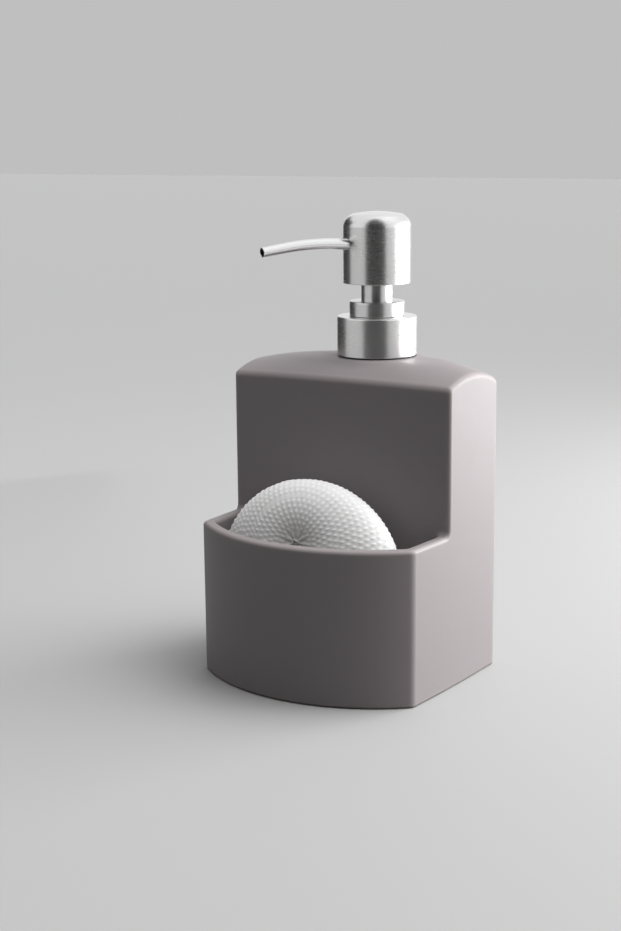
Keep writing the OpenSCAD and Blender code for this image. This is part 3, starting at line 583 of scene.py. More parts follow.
class Ceramic:
    """The body's form, worked out from its sizes."""

    def __init__(self, sizes):
        self.s = sizes
        low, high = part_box("ceramic_body")
        self.low, self.high = np.array(low), np.array(high)
        self.side_c = np.array([high[0] - sizes.side_r, sizes.widest_y])
        self.front_corner_y = low[1] + sizes.front_bow
        self.front_r = bow_radius(self.side_x(self.front_corner_y), sizes.front_bow)
        self.front_c = np.array([0, low[1] + self.front_r])
        self.back_r = bow_radius(self.side_x(sizes.back_corner_y), sizes.back_bow)
        self.back_c = np.array([0, high[1] - self.back_r])
        self.neck = axis_of("collar_sleeve")

    def side_x(self, y):
        return self.side_c[0] + math.sqrt(self.s.side_r**2 - (y - self.side_c[1])**2)

    @staticmethod
    def meet(c1, r1, c2, r2, turn):
        """Where two circles meet."""
        d = c2 - c1
        q = np.hypot(*d)
        a = (r1**2 - r2**2 + q**2)/(2*q)
        h = math.sqrt(r1**2 - a**2)
        return c1 + a*d/q + turn*h*np.array([-d[1], d[0]])/q

    def outline(self, x, y, inset, front_r, back_r):
        """Distance to the bowed outline drawn in by inset, with rounded corners."""
        x = np.abs(x)
        side = np.hypot(x - self.side_c[0], y - self.side_c[1]) - self.s.side_r
        front = np.hypot(x, y - self.front_c[1]) - self.front_r
        back = np.hypot(x, y - self.back_c[1]) - self.back_r
        far = np.maximum(side, np.maximum(front, back)) + inset
        for centre, radius, turn, r in ((self.front_c, self.front_r, -1, front_r),
                                        (self.back_c, self.back_r, 1, back_r)):
            t = inset + r
            corner = self.meet(self.side_c, self.s.side_r - t, centre, radius - t, turn)
            n1, n2 = corner - centre, corner - self.side_c
            vx, vy = x - corner[0], y - corner[1]
            one = (n1[0]*vy - n1[1]*vx)*-turn
            two = (vx*n2[1] - vy*n2[0])*-turn
            far = np.where((one >= 0) & (two >= 0), np.hypot(vx, vy) - r, far)
        return far

    def roof(self, x, y):
        """Height of the crowned roof with the flat land round the neck."""
        s = self.s
        u = np.clip(np.abs(x)/self.high[0], 0, 1)
        far = self.back_c[1] + np.sqrt(np.maximum(self.back_r**2 - np.minimum(
            np.abs(x), self.high[0])**2, 0))
        v = np.clip(2*(y - s.face_y)/(far - s.face_y) - 1, -1, 1)
        across, along = 1 - u**2.5, 1 - v**2
        crown = s.corner_h + s.front_arch*across + s.side_arch*along \
            + s.crown_rise*across*along - s.back_fall*(1 + v)/2
        off = np.hypot(x - self.neck[0], y - self.neck[1])
        cone = s.land_h - (off - s.land_r)
        return self.soft(self.soft(crown, cone, LAND_FOOT, 1), s.land_h, LAND_EDGE, -1)

    @staticmethod
    def soft(a, b, k, sign):
        """The higher (sign 1) or the lower (-1) of two heights, with a soft step of width k."""
        h = np.maximum(k - np.abs(a - b), 0)/k
        return sign*(np.maximum(sign*a, sign*b) + h*h*k/4)

    def distance(self, p):
        """Distance of points to the clay's surface."""
        s = self.s
        x, y, z = p[..., 0], p[..., 1], p[..., 2]
        up = np.clip(z/s.rim_h, 0, 1)
        outside = self.outline(x, y, 0, s.pocket_corner_r, s.back_corner_r) \
            + s.draft*(1 - up)
        inside = self.outline(x, y, s.wall, s.inner_corner_r, s.inner_corner_r)
        roof = self.roof(x, y)
        ring = both(-inside, z - s.rim_h, s.rim_r)
        block = s.face_y - y
        clay = either(either(ring, block, s.nook_r), z - s.floor, s.nook_r)
        above = np.clip((z - s.rim_h)/EDGE_CHANGE, 0, 1)
        side_r = s.rim_r + (s.face_edge_r - s.rim_r)*above
        clay = both(clay, outside, side_r)
        clay = both(clay, z - roof, s.roof_edge_r)
        clay = both(clay, -z, s.foot_edge_r)
        room = both(inside, s.face_y + s.wall - y, s.inner_corner_r)
        room = both(both(room, s.floor - z, ROOM_R), z - roof + s.wall, ROOM_R)
        clay = both(clay, -room, FINE_R)
        neck = np.maximum(np.hypot(x - self.neck[0], y - self.neck[1]) - s.neck_hole_r,
                          NECK_HOLE_FROM - z)
        clay = both(clay, -neck, NECK_EDGE_R)
        half_w = self.side_x(s.face_y) - s.foot_w
        qx = np.abs(x) - half_w + s.pocket_corner_r
        low, high = self.front_corner_y + s.foot_w, s.back_corner_y - s.foot_w
        qy = np.abs(y - (low + high)/2) - (high - low)/2
        hollow = np.hypot(np.maximum(qx, 0), np.maximum(qy, 0)) \
            + np.minimum(np.maximum(qx, qy), 0) - s.pocket_corner_r
        return both(clay, -np.maximum(hollow, z - s.foot_hollow), FINE_R)

    def slope(self, p, step=0.01*MM):
        """Direction in which the distance grows, from small steps."""
        rise = np.empty_like(p)
        for axis in range(3):
            shift = np.zeros(3)
            shift[axis] = step
            rise[:, axis] = (self.distance(p + shift) - self.distance(p - shift))/(2*step)
        return rise

    def mesh(self):
        """Points, quads, normals and how sharply each point bends outward."""
        cell = self.s.cell
        start = self.low - 2.37*cell
        count = np.ceil((self.high + 2.5*cell - start)/cell).astype(int)
        axes = [start[i] + cell*np.arange(count[i]) for i in range(3)]
        points = np.stack(np.meshgrid(*axes, indexing="ij"), axis=-1)
        field = np.clip(self.distance(points)/cell, -3, 3)
        grid = openvdb.FloatGrid(background=3.0)
        grid.copyFromArray(field.astype(np.float32))
        found, quads = grid.convertToQuads(isovalue=0.0)
        p = found.astype(float)*cell + start
        for _ in range(4):
            rise = self.slope(p)
            size = np.sum(rise**2, axis=1)
            step = self.distance(p)/np.maximum(size, 0.25)
            p = p - np.clip(step, -cell, cell)[:, None]*rise
        rise = self.slope(p)
        normal = unit(rise)
        side = unit(np.cross(
            normal, np.where(np.abs(normal[:, 2:3]) < 0.9, [[0, 0, 1]], [[1, 0, 0]])))
        other = np.cross(normal, side)
        bend = sum(self.distance(p + k*BEND_REACH*d) for d in (side, other) for k in (1, -1))
        corner = [p[quads[:, k]] for k in range(4)]
        facing = np.cross(corner[2] - corner[0], corner[3] - corner[1])
        if np.sum(facing*normal[quads[:, 0]]) < 0:
            quads = quads[:, ::-1]
        return p, quads, normal, bend/BEND_REACH


# Turned and drawn pieces -----------------------------------------------------------------------

def rounded(outline, radii, steps=6):
    """Points and normals of an outline of [radius, height] pairs, with rounded corners.

    The piece is on the left of the outline's direction.
    """
    outline = np.array(outline)
    places, normals = [], []
    for last, corner, following, radius in zip(
            np.roll(outline, 1, axis=0), outline, np.roll(outline, -1, axis=0), radii):
        come, go = corner - last, following - corner
        come, go = come/np.hypot(*come), go/np.hypot(*go)
        turn = math.atan2(come[0]*go[1] - come[1]*go[0], float(np.dot(come, go)))
        side = np.array([come[1], -come[0]])
        bulge = 1 if turn > 0 else -1
        begin = corner - come*radius*math.tan(abs(turn)/2)
        centre = begin - bulge*side*radius
        start = math.atan2(side[1], side[0])
        for k in range(steps + 1):
            a = start + turn*k/steps
            n = np.array([math.cos(a), math.sin(a)])
            places.append(centre + bulge*n*radius)
            normals.append(n)
    return np.array(places), np.array(normals)


def revolved(places, normals, centre, turns, start=0.0, closed=True):
    """Points, quads and normals of an outline turned about an upright axis."""
    turn = start + 2*np.pi*np.arange(turns)/turns
    wheel = np.stack([np.cos(turn), np.sin(turn), np.ones(turns)], axis=-1)
    points = places[:, [0, 0, 1]][:, None]*wheel + [*centre, 0]
    facing = normals[:, [0, 0, 1]][:, None]*wheel
    return points.reshape(-1, 3), ring_quads(len(places), turns, closed), facing.reshape(-1, 3)


def drawn_cup(node, hole_r, steel):
    """Outline of a drawn sleeve whose top turns in to a round hole."""
    low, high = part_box(node)
    outer_r, z0, z1 = (high[0] - low[0])/2, low[2], high[2]
    inner_r, under = outer_r - steel.sheet, z1 - steel.sheet
    outline = [[inner_r, z0], [outer_r, z0], [outer_r, z1], [hole_r, z1], [hole_r, under],
               [inner_r, under]]
    radii = [steel.rolled_r, steel.rolled_r, steel.top_edge_r, steel.hole_edge_r,
             steel.hole_edge_r, CREASE_R]
    return rounded(outline, radii)


def spout_frame(steel):
    """The spout's turn about the pump's axis, and its ways ahead, to the left and up."""
    turn = -np.pi/2 - steel.spout_yaw
    c, s = math.cos(turn), math.sin(turn)
    return turn, np.array([c, s, 0]), np.array([-s, c, 0]), np.array([0, 0, 1])


def towards(azimuth, elevation):
    """The way to a place that is seen at these angles."""
    flat = math.cos(elevation)
    return Vector((math.sin(azimuth)*flat, -math.cos(azimuth)*flat, math.sin(elevation)))


def stage_piece(scene, name, finish, points, faces):
    """A piece that isn't part of the object."""
    mesh = bpy.data.meshes.new(name)
    mesh.from_pydata(points, [], faces)
    mesh.materials.append(finish.owner)
    piece = bpy.data.objects.new(name, mesh)
    scene.collection.objects.link(piece)
    return piece


# Operators -------------------------------------------------------------------------------------

class CaddyOperator:
    """What all operators here share."""

    bl_options = {"REGISTER", "UNDO"}


class CADDY_OT_stage(CaddyOperator, Operator):
    """Sets up the camera, the pale floor and the soft light"""

    bl_idname = "caddy.stage"
    bl_label = "Stage"

    def execute(self, context):
        stage = context.scene.caddy_stage
        self.camera(context.scene, stage)
        self.floor(context.scene, stage)
        self.world(context.scene, stage)
        self.lamps(context.scene)
        self.cards(context.scene)
        context.scene.view_settings.view_transform = "Standard"
        return {"FINISHED"}

    @staticmethod
    def camera(scene, stage):
        az, el, roll = stage.azimuth, stage.elevation, stage.roll
        back = towards(az, el)
        flat = Vector((math.cos(az), math.sin(az), 0))
        up = back.cross(flat)
        right = flat*math.cos(roll) + up*math.sin(roll)
        over = up*math.cos(roll) - flat*math.sin(roll)
        camera = bpy.data.cameras.new("camera")
        camera.sensor_width = 36
        camera.lens = stage.lens_px/PHOTO_LONG_SIDE*camera.sensor_width
        camera.clip_start, camera.clip_end = 0.01, 50
        holder = bpy.data.objects.new("camera", camera)
        scene.collection.objects.link(holder)
        turn = Matrix((right, over, back)).transposed().to_4x4()
        target = Vector((0, stage.target_y, stage.target_z))
        holder.matrix_world = Matrix.Translation(target + back*stage.distance) @ turn
        scene.camera = holder

    @staticmethod
    def floor(scene, stage):
        finish = new_finish("floor")
        cloud = finish.noise(3, 3)
        pale = finish.blend(0.5*cloud, stage.floor, shade(stage.floor, 0.97))
        seen = finish.rays("Is Camera Ray", "Is Glossy Ray", "Is Transmission Ray")
        base = finish.blend(seen, stage.floor_dark, pale)
        finish.surface(Base_Color=base, Roughness=0.7)
        reach = FLOOR_REACH
        stage_piece(scene, "floor", finish, [
            (-reach, -reach, 0), (reach, -reach, 0), (reach, reach, 0), (-reach, reach, 0)],
            [(0, 1, 2, 3)])

    @staticmethod
    def world(scene, stage):
        finish = Finish(bpy.data.worlds.new("studio"))
        scene.world = finish.owner

        def glow(tone, strength):
            return finish.value("ShaderNodeBackground", {},
                                {"Color": (*tone, 1), "Strength": strength})

        def mixed(factor, one, other):
            return finish.value("ShaderNodeMixShader", {}, {0: factor, 1: one, 2: other})

        nearness = finish.value(
            "ShaderNodeVectorMath", {"operation": "DOT_PRODUCT"},
            {"Vector": finish.value("ShaderNodeTexCoord", output="Generated"),
             "Vector_001": SKY_MIDDLE}, output="Value")
        white = (1, 1, 1)
        light = mixed(nearness.clamped()**SKY_FALL, glow(white, stage.fill),
                      glow(white, stage.sky))
        glossy = mixed(finish.rays("Is Glossy Ray"), light, glow(stage.room, 1.0))
        straight = finish.rays("Is Camera Ray", "Is Transmission Ray")
        finish.node("ShaderNodeOutputWorld", {},
                    {"Surface": mixed(straight, glossy, glow(stage.backdrop, 1.0))})

    @staticmethod
    def lamps(scene):
        for name, azimuth, elevation, far, wide, high, radiance, mirrored in PANELS:
            lamp = bpy.data.lights.new(name, "AREA")
            lamp.shape = "RECTANGLE"
            lamp.size, lamp.size_y = wide, high
            lamp.energy = radiance*math.pi*wide*high
            holder = bpy.data.objects.new(name, lamp)
            scene.collection.objects.link(holder)
            back = towards(math.radians(azimuth), math.radians(elevation))
            holder.location = AIM + back*far
            holder.rotation_euler = (-back).to_track_quat("-Z", "Y").to_euler()
            holder.visible_glossy = mirrored

    @staticmethod
    def cards(scene):
        """Dark cards that only the steel mirrors."""
        for name, azimuths, elevations, tone in CARDS:
            finish = new_finish(name)
            finish.surface(Base_Color=(tone, tone, tone, 1), Roughness=0.9)
            wide, tall = [np.radians(np.linspace(*ends, count))
                          for ends, count in zip((azimuths, elevations), CARD_POINTS)]
            points = [AIM + towards(a, e)*CARD_FAR for a in wide for e in tall]
            grid = np.arange(len(points)).reshape(CARD_POINTS)
            faces = np.stack([grid[:-1, :-1], grid[1:, :-1], grid[1:, 1:], grid[:-1, 1:]], axis=-1)
            card = stage_piece(scene, name, finish, points, faces.reshape(-1, 4).tolist())
            card.visible_camera = card.visible_diffuse = card.visible_shadow = False


class CADDY_OT_ceramic(CaddyOperator, Operator):
    """Makes the one-piece ceramic body with its matt glaze"""

    bl_idname = "caddy.ceramic"
    bl_label = "Ceramic body"

    def execute(self, context):
        sizes = context.scene.caddy_ceramic
        points, quads, normals, bend = Ceramic(sizes).mesh()
        body = mesh_piece("glazed_body", "ceramic_body", "caddy",
                          matt_glaze(sizes), points, quads, normals)
        store(body.data, "edge", np.clip(bend*0.9, 0, 1))
        return {"FINISHED"}


class CADDY_OT_sleeves(CaddyOperator, Operator):
    """Turns the steel collar, the ring and the stem"""

    bl_idname = "caddy.sleeves"
    bl_label = "Collar, ring and stem"

    def execute(self, context):
        steel = context.scene.caddy_steel
        finish = satin_steel("satin_steel", steel.satin, 0.28)
        low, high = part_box("stem_sleeve")
        stem_r = (high[0] - low[0])/2
        stem = [[STEM_BORE_R, low[2]], [stem_r, low[2]], [stem_r, high[2]],
                [STEM_BORE_R, high[2]]]
        for name, node, body, slot, outline in (
            ("steel_collar", "collar_sleeve", "closure", "collar_steel",
             drawn_cup("collar_sleeve", GUIDE_R + 0.2*MM, steel)),
            ("steel_ring", "ring_sleeve", "pump", "ring_steel",
             drawn_cup("ring_sleeve", stem_r + 0.1*MM, steel)),
            ("steel_stem", "stem_sleeve", "head", "stem_steel", rounded(stem, [0.2*MM]*4)),
        ):
            points, quads, normals = revolved(*outline, axis_of(node), steel.turns)
            mesh_piece(name, node, body, finish, points, quads, normals)
        return {"FINISHED"}


class CADDY_OT_head(CaddyOperator, Operator):
    """Draws the pump head's steel cap, with the hole for the spout"""

    bl_idname = "caddy.head"
    bl_label = "Pump head"

    cells = 12    # along each side of the patch round the hole

    def execute(self, context):
        steel = context.scene.caddy_steel
        turns, n = steel.turns, self.cells
        turn, forward, left, up = spout_frame(steel)
        axis = axis_of("head_core")
        hole_z = steel.spout_z + (HEAD_R - steel.spout_start)*math.tan(steel.spout_climb)
        rows = hole_z + np.linspace(-HOLE_PATCH, HOLE_PATCH, n + 1)
        places, slopes = self.outline(steel, rows)
        points, quads, facing = revolved(places[1:-1], slopes[1:-1], axis, turns, start=turn,
                                         closed=False)

        # The two poles
        count = len(points)
        for first, pole, way in ((0, count, -1), (count - turns, count + 1, 1)):
            quads += [[first + j, first + (j + 1) % turns, pole][::way] for j in range(turns)]
        points = np.vstack([points, [*axis, places[0][1]], [*axis, places[-1][1]]])
        facing = np.vstack([facing, [0, 0, -1], [0, 0, 1]])

        # The hole's patch, outside and inside
        walls = []
        for r, sign in ((HEAD_R, 1), (HEAD_R - steel.sheet, -1)):
            rings = [i for i, (x, z) in enumerate(places[1:-1])
                     if x == r and np.isclose(rows, z).any()]
            walls.append((sorted(rings, key=lambda i: places[i + 1][1]), r, sign))
        columns = [j % turns for j in range(-(n//2), n//2 + 1)]
        taken = {i*turns + j for rings, _, _ in walls for i in rings for j in columns}
        quads = [quad for quad in quads if not taken.issuperset(quad)]
        base = np.array([*axis, hole_z])
        hole_r = steel.root_d/2 + HOLE_PLAY
        loop = [(0, j) for j in range(n)] + [(i, n) for i in range(n)] \
            + [(n, j) for j in range(n, 0, -1)] + [(i, 0) for i in range(n, 0, -1)]
        rims = []
        for block, r, sign in walls:
            edge = [block[i]*turns + columns[j] for i, j in loop]
            flat = np.stack([(points[edge] - base) @ left, (points[edge] - base) @ up])
            spoke = flat/np.hypot(*flat)
            spread = np.outer(spoke[0], left) + np.outer(spoke[1], up)
            # from the patch's edge to the hole's, then over that edge by an angle
            steps = [(flat*(1 - t) + spoke*(hole_r + HOLE_EDGE_R)*t, 0.0)
                     for t in (0.3, 0.55, 0.78, 1.0)]
            steps += [(spoke*(hole_r + HOLE_EDGE_R*(1 - math.sin(a))), a)
                      for a in np.linspace(0, np.pi/2, 4)[1:]]
            rings = [edge]
            for (across, tall), a in steps:
                depth = np.sqrt(r**2 - across**2) - sign*HOLE_EDGE_R*(1 - math.cos(a))
                out = np.outer(depth, forward) + np.outer(across, left)
                face = sign*out/r*math.cos(a) - spread*math.sin(a)
                rings.append(list(range(len(points), len(points) + len(edge))))
                points = np.vstack([points, base + out + np.outer(tall, up)])
                facing = np.vstack([facing, unit(face)])
            for one, two in zip(rings, rings[1:]):
                quads += [quad[::sign] for quad in strip(one, two)]
            rims.append(rings[-1])
        quads += strip(*rims)

        used = np.unique(np.concatenate(quads))
        points, facing = points[used], facing[used]
        quads = facing_out(points, [np.searchsorted(used, quad).tolist() for quad in quads],
                           facing)
        mesh_piece("steel_head", "head_shell", "head",
                   satin_steel("satin_steel_head", steel.satin, 0.27), points, quads, facing)
        return {"FINISHED"}

    @staticmethod
    def outline(steel, rows):
        """Places and normals from the middle of the inside round the lip to the top."""
        low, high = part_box("head_shell")
        inner_r = HEAD_R - steel.sheet
        hub = HEAD_R - steel.head_edge_r
        crown_r = bow_radius(hub, steel.head_crown)
        edge_z = high[2] - steel.head_crown - steel.head_edge_r
        lip_r, lip_z = steel.rolled_r, low[2] + steel.rolled_r

        def wall(r, sign, heights):
            return [(r, z, sign, 0) for z in heights]

        def arc(x, z, r, sign, angles):
            return [(x + r*math.cos(a), z + r*math.sin(a), sign*math.cos(a), sign*math.sin(a))
                    for a in angles]

        def dome(top, sign):
            return [(r, top - crown_r + math.sqrt(crown_r**2 - r**2), sign*r/crown_r,
                     sign*math.sqrt(1 - (r/crown_r)**2)) for r in hub*np.linspace(0, 1, 7)]

        edge = np.linspace(0, np.pi/2, 13)
        lip = np.linspace(np.pi, 1.5*np.pi, 6)
        marks = np.array(
            dome(high[2] - steel.sheet, -1)
            + arc(hub, edge_z, steel.head_edge_r - steel.sheet, -1, edge[::-1])
            + wall(inner_r, -1, [*rows[::-1], lip_z])
            + arc(inner_r + lip_r, lip_z, lip_r, 1, lip[1:])
            + arc(HEAD_R - lip_r, lip_z, lip_r, 1, lip[:-1] + np.pi/2)
            + wall(HEAD_R, 1, [lip_z, *rows])
            + arc(hub, edge_z, steel.head_edge_r, 1, edge)
            + dome(high[2], 1)[::-1])
        return marks[:, :2], marks[:, 2:]


class CADDY_OT_spout(CaddyOperator, Operator):
    """Bends the slim steel spout"""

    bl_idname = "caddy.spout"
    bl_label = "Spout"

    sides = 40

    def execute(self, context):
        steel = context.scene.caddy_steel
        climb, fall, bend_r = steel.spout_climb, -steel.spout_droop, steel.spout_bend_r

        def along(a):
            return np.stack([np.cos(a), np.sin(a)], axis=-1)

        def across(a):
            return np.stack([-np.sin(a), np.cos(a)], axis=-1)

        # The middle line, ahead and up from the axis: a straight root, a bend, a straight tip
        bend = np.linspace(climb, fall, 25)[1:]
        root = [steel.spout_start, steel.spout_z] \
            + np.outer(np.linspace(0, 1, 5)*steel.spout_root, along(climb))
        curve = root[-1] + bend_r*(across(bend) - across(climb))
        tip = curve[-1] + np.outer(np.linspace(0.2, 1, 5)*steel.spout_tip, along(fall))
        route = np.vstack([root, curve, tip])
        slope = np.concatenate([np.full(5, climb), bend, np.full(5, fall)])
        run = run_along(route)
        radius = np.interp(run, [0, run[-1]], [steel.root_d/2, steel.tip_d/2])

        # Rings along the outside, round the lip and back along the inside
        lean = np.linspace(0, np.pi, 7)
        lip = steel.tube_t/2
        mouth = route[-1] - np.outer(lip*(1 - np.sin(lean)), along(fall))
        places = np.vstack([route[:-1], mouth, route[-2::-1]])
        slope = np.concatenate([slope[:-1], np.full(7, fall), slope[-2::-1]])
        radius = np.concatenate([radius[:-1], radius[-1] - lip*(1 - np.cos(lean)),
                                 radius[-2::-1] - steel.tube_t])
        rest = len(route) - 1
        lean = np.concatenate([np.zeros(rest), lean, np.full(rest, np.pi)])[:, None, None]
        _, forward, left, up = spout_frame(steel)
        ahead = np.outer(np.cos(slope), forward) + np.outer(np.sin(slope), up)
        over = np.outer(np.cos(slope), up) - np.outer(np.sin(slope), forward)
        middles = [*axis_of("head_core"), 0] + places @ [forward, up]
        points, out = around(middles, left + 0*over, over, radius, self.sides)
        normals = (out*np.cos(lean) + ahead[:, None]*np.sin(lean)).reshape(-1, 3)
        quads = facing_out(points, ring_quads(len(places), self.sides), normals)
        mesh_piece("steel_spout", "spout_tube", "head", polished_steel(steel),
                   points, quads, normals)
        return {"FINISHED"}


class CADDY_OT_pump(CaddyOperator, Operator):
    """Finishes the pump's inner pieces, the closure and the neck insert"""

    bl_idname = "caddy.pump"
    bl_label = "Pump and closure"

    def execute(self, context):
        black = moulded_plastic("black_plastic", (0.018, 0.018, 0.020), 0.38)
        clear = moulded_plastic("milky_plastic", (0.70, 0.73, 0.74), 0.30, clear=0.2)
        white = moulded_plastic("white_plastic", (0.78, 0.78, 0.76), 0.36)
        grey = moulded_rubber("grey_rubber", (0.045, 0.045, 0.048))
        wire = satin_steel("spring_wire", (0.55, 0.55, 0.56), 0.22, lines=900)
        ball = satin_steel("ball_steel", (0.62, 0.62, 0.63), 0.10, lines=400)
        for finish, nodes in (
            (black, ("neck_insert", "screw_closure", "guide_ring", "head_core",
                     "spout_liner")),
            (clear, ("pump_cylinder", "dip_tube")),
            (white, ("piston_rod", "piston_seal", "ball_cage")),
            (grey, ("neck_gasket",)),
            (ball, ("inlet_ball", "outlet_ball")),
        ):
            for node in nodes:
                paint(node, finish)
        pressed_spring(wire)
        return {"FINISHED"}


class CADDY_OT_sponge(CaddyOperator, Operator):
    """Inflates the knitted cover, works its stitches and ties the knot"""

    bl_idname = "caddy.sponge"
    bl_label = "Sponge"

    pleats = 9      # folds round the gather
    angles = np.linspace(-np.pi, np.pi, 181)    # of the paths from the gather
    looks = 64      # places along each half of a path
    stitch_across, stitch_along = 0.21, 0.34    # a stitch's half widths in its cell

    def execute(self, context):
        sizes = self.sizes = context.scene.caddy_sponge
        c, s = math.cos(math.pi/2 - sizes.lean), math.sin(math.pi/2 - sizes.lean)
        self.place = np.array([[1, 0, 0], [0, c, -s], [0, s, c]])
        self.centre = np.array([-sizes.aside, sizes.centre_y, sizes.centre_z])
        self.gather = np.array([sizes.gather_x, sizes.gather_up])
        self.radius, self.depth = sizes.diameter/2, sizes.thickness/2
        self.paths = [self.meridian(turn) for turn in self.angles]
        blank = self.inflated(context)
        points, quads = self.refined(blank, 4)
        points, crest, drawn = self.knitted(points)
        cover = mesh_piece("knitted_cover", "sponge_cover", "sponge",
                           knitted_yarn(sizes), self.placed(points), quads)
        store(cover.data, "crest", crest)
        store(cover.data, "drawn", drawn)
        points, quads = self.refined(blank, 1)
        points = self.fitted(points, COVER_T)
        points[:, 2] -= self.sunk(points)
        foam = mesh_piece("foam_disc", "sponge_core", "sponge",
                          open_foam(sizes), self.placed(points), quads)
        self.tie(sizes)
        return {"FINISHED"}

    def placed(self, points):
        """Local points, lying on their back, stood up in the pocket."""
        return (points*[self.sizes.wide, 1, 1]) @ self.place.T + self.centre

    def local(self, points):
        return (points - self.centre) @ self.place/[self.sizes.wide, 1, 1]

    def bulge(self, off):
        """Half the thickness of the rounded form at a distance from its middle."""
        return self.depth*np.sqrt(1 - np.clip(off/self.radius, 0, 1)**2)

    def inflated(self, context):
        """The core's mesh as a cloth bag, swollen by pressure; local points and quads."""
        sizes = self.sizes
        source = frame["nodes"]["sponge_core"]
        bag = bpy.data.objects.new("bag", source.data.copy())
        context.scene.collection.objects.link(bag)
        context.view_layer.objects.active = bag
        for other in context.view_layer.objects:
            other.select_set(other == bag)
        bag.data.materials.clear()
        bag.data.remesh_voxel_size = sizes.cloth_cell
        bag.data.remesh_voxel_adaptivity = 0
        bpy.ops.object.voxel_remesh()
        before = np.array([v.co[:] for v in bag.data.vertices])
        quads = [list(f.vertices) for f in bag.data.polygons]
        move = 0*before
        cloth = bag.modifiers.new("cloth", "CLOTH")
        cloth.settings.quality = 6
        cloth.settings.use_pressure = True
        cloth.settings.uniform_pressure_force = 4
        cloth.settings.effector_weights.gravity = 0
        cloth.point_cache.frame_start, cloth.point_cache.frame_end = 1, 20
        for step in range(1, 21):
            context.scene.frame_set(step)
        seen = bag.evaluated_get(context.evaluated_depsgraph_get())
        move = np.array([v.co[:] for v in seen.data.vertices]) - before
        context.scene.frame_set(1)
        far = np.linalg.norm(move, axis=1)
        move *= np.minimum(1, sizes.swell/np.maximum(far, 1e-9))[:, None]
        points = self.local(before + move)
        bpy.data.objects.remove(bag)
        return points, quads

    def refined(self, blank, levels):
        """The bag's mesh, subdivided."""
        points, quads = blank
        mesh = bpy.data.meshes.new("bag")
        mesh.from_pydata(points.tolist(), [], quads)
        holder = bpy.data.objects.new("bag", mesh)
        bpy.context.scene.collection.objects.link(holder)
        finer = holder.modifiers.new("finer", "SUBSURF")
        finer.levels = finer.render_levels = levels
        seen = holder.evaluated_get(bpy.context.evaluated_depsgraph_get()).data
        made = np.empty(3*len(seen.vertices))
        seen.vertices.foreach_get("co", made)
        faces = np.empty(len(seen.loops), dtype=int)
        seen.loops.foreach_get("vertex_index", faces)
        bpy.data.objects.remove(holder)
        bpy.data.meshes.remove(mesh)
        return made.reshape(-1, 3), faces.reshape(-1, 4)

    def fitted(self, points, inset):
        """Points drawn most of the way to the rounded form, drawn in by inset."""
        full = np.sqrt((off_axis(points)/(self.radius - inset))**2
                       + (points[:, 2]/(self.depth - inset))**2)
        return points*(1 + 0.85*(1/np.maximum(full, 1e-6) - 1))[:, None]

    def sunk(self, points):
        """How far the drawn-up gather pulls the front in at each point."""
        off = off_axis(points, self.gather)/self.sizes.gather_r
        return self.sizes.gather_depth*np.exp(-off**2)*(points[:, 2] > 0)

    def knitted(self, points):
        """The cover's points with the gather and the stitches worked in."""
        s = self.sizes
        points = points.copy()
        # fill the core's hollow first, so that the gather is worked from a full form
        near = (points[:, 2] > 0) & (off_axis(points, self.gather) < 18*MM)
        top = self.bulge(off_axis(points[near]))
        points[near, 2] = np.maximum(points[near, 2], top - 0.3*MM)
        points = self.fitted(points, s.relief + 0.15*MM)
        along, turn = self.from_gather(points)
        rows = along/s.row
        table = self.row_table(int(rows.max()) + 3)
        lift = np.zeros(len(points))
        for shift in (-1, 0, 1):
            row = np.clip(np.round(rows - 0.5).astype(int) + shift, 0, len(table) - 1)
            phase = np.empty(len(points))
            for k in np.unique(row):
                mask = row == k
                phase[mask] = np.interp(turn[mask], self.angles, table[k])
            across = ((phase + 0.5*(row % 2) + 0.5) % 1 - 0.5)/self.stitch_across
            lift = np.maximum(lift, np.exp(
                -across**2 - ((rows - (row + 0.5))/self.stitch_along)**2))
        pleat = np.cos(self.pleats*turn + 0.7*np.sin(3*turn))
        fold = 0.3*MM*pleat*np.exp(-((along - 3*MM)/(2*MM))**2)
        calm = np.clip((along - 1*MM)/(5*MM), 0.15, 1)
        outward = unit(points/[self.radius**2, self.radius**2, self.depth**2])
        made = points + outward*(s.relief*(lift - 0.5)*calm + fold)[:, None]
        made[:, 2] -= self.sunk(points)
        # how strongly the gather's stain and painted shade darken the yarn
        drawn = 0.55*np.exp(-(along/(7*MM))**2) + 0.10*np.exp(-(along/(13*MM))**2)
        return made, lift, drawn*(points[:, 2] > 0)

    def meridian(self, turn, steps=160):
        """The way out from the gather over the rim to the back, its path and its length."""
        way = np.array([math.cos(turn), math.sin(turn)])
        along = float(way @ self.gather)
        reach = math.sqrt(along**2 - float(self.gather @ self.gather) + self.radius**2) - along
        out = reach*np.sin(np.linspace(0, np.pi, 2*steps + 1))
        side = np.where(np.arange(2*steps + 1) <= steps, 1, -1)
        flat = self.gather + out[:, None]*way
        path = np.column_stack([flat, side*self.bulge(off_axis(flat))])
        return out, path, run_along(path)

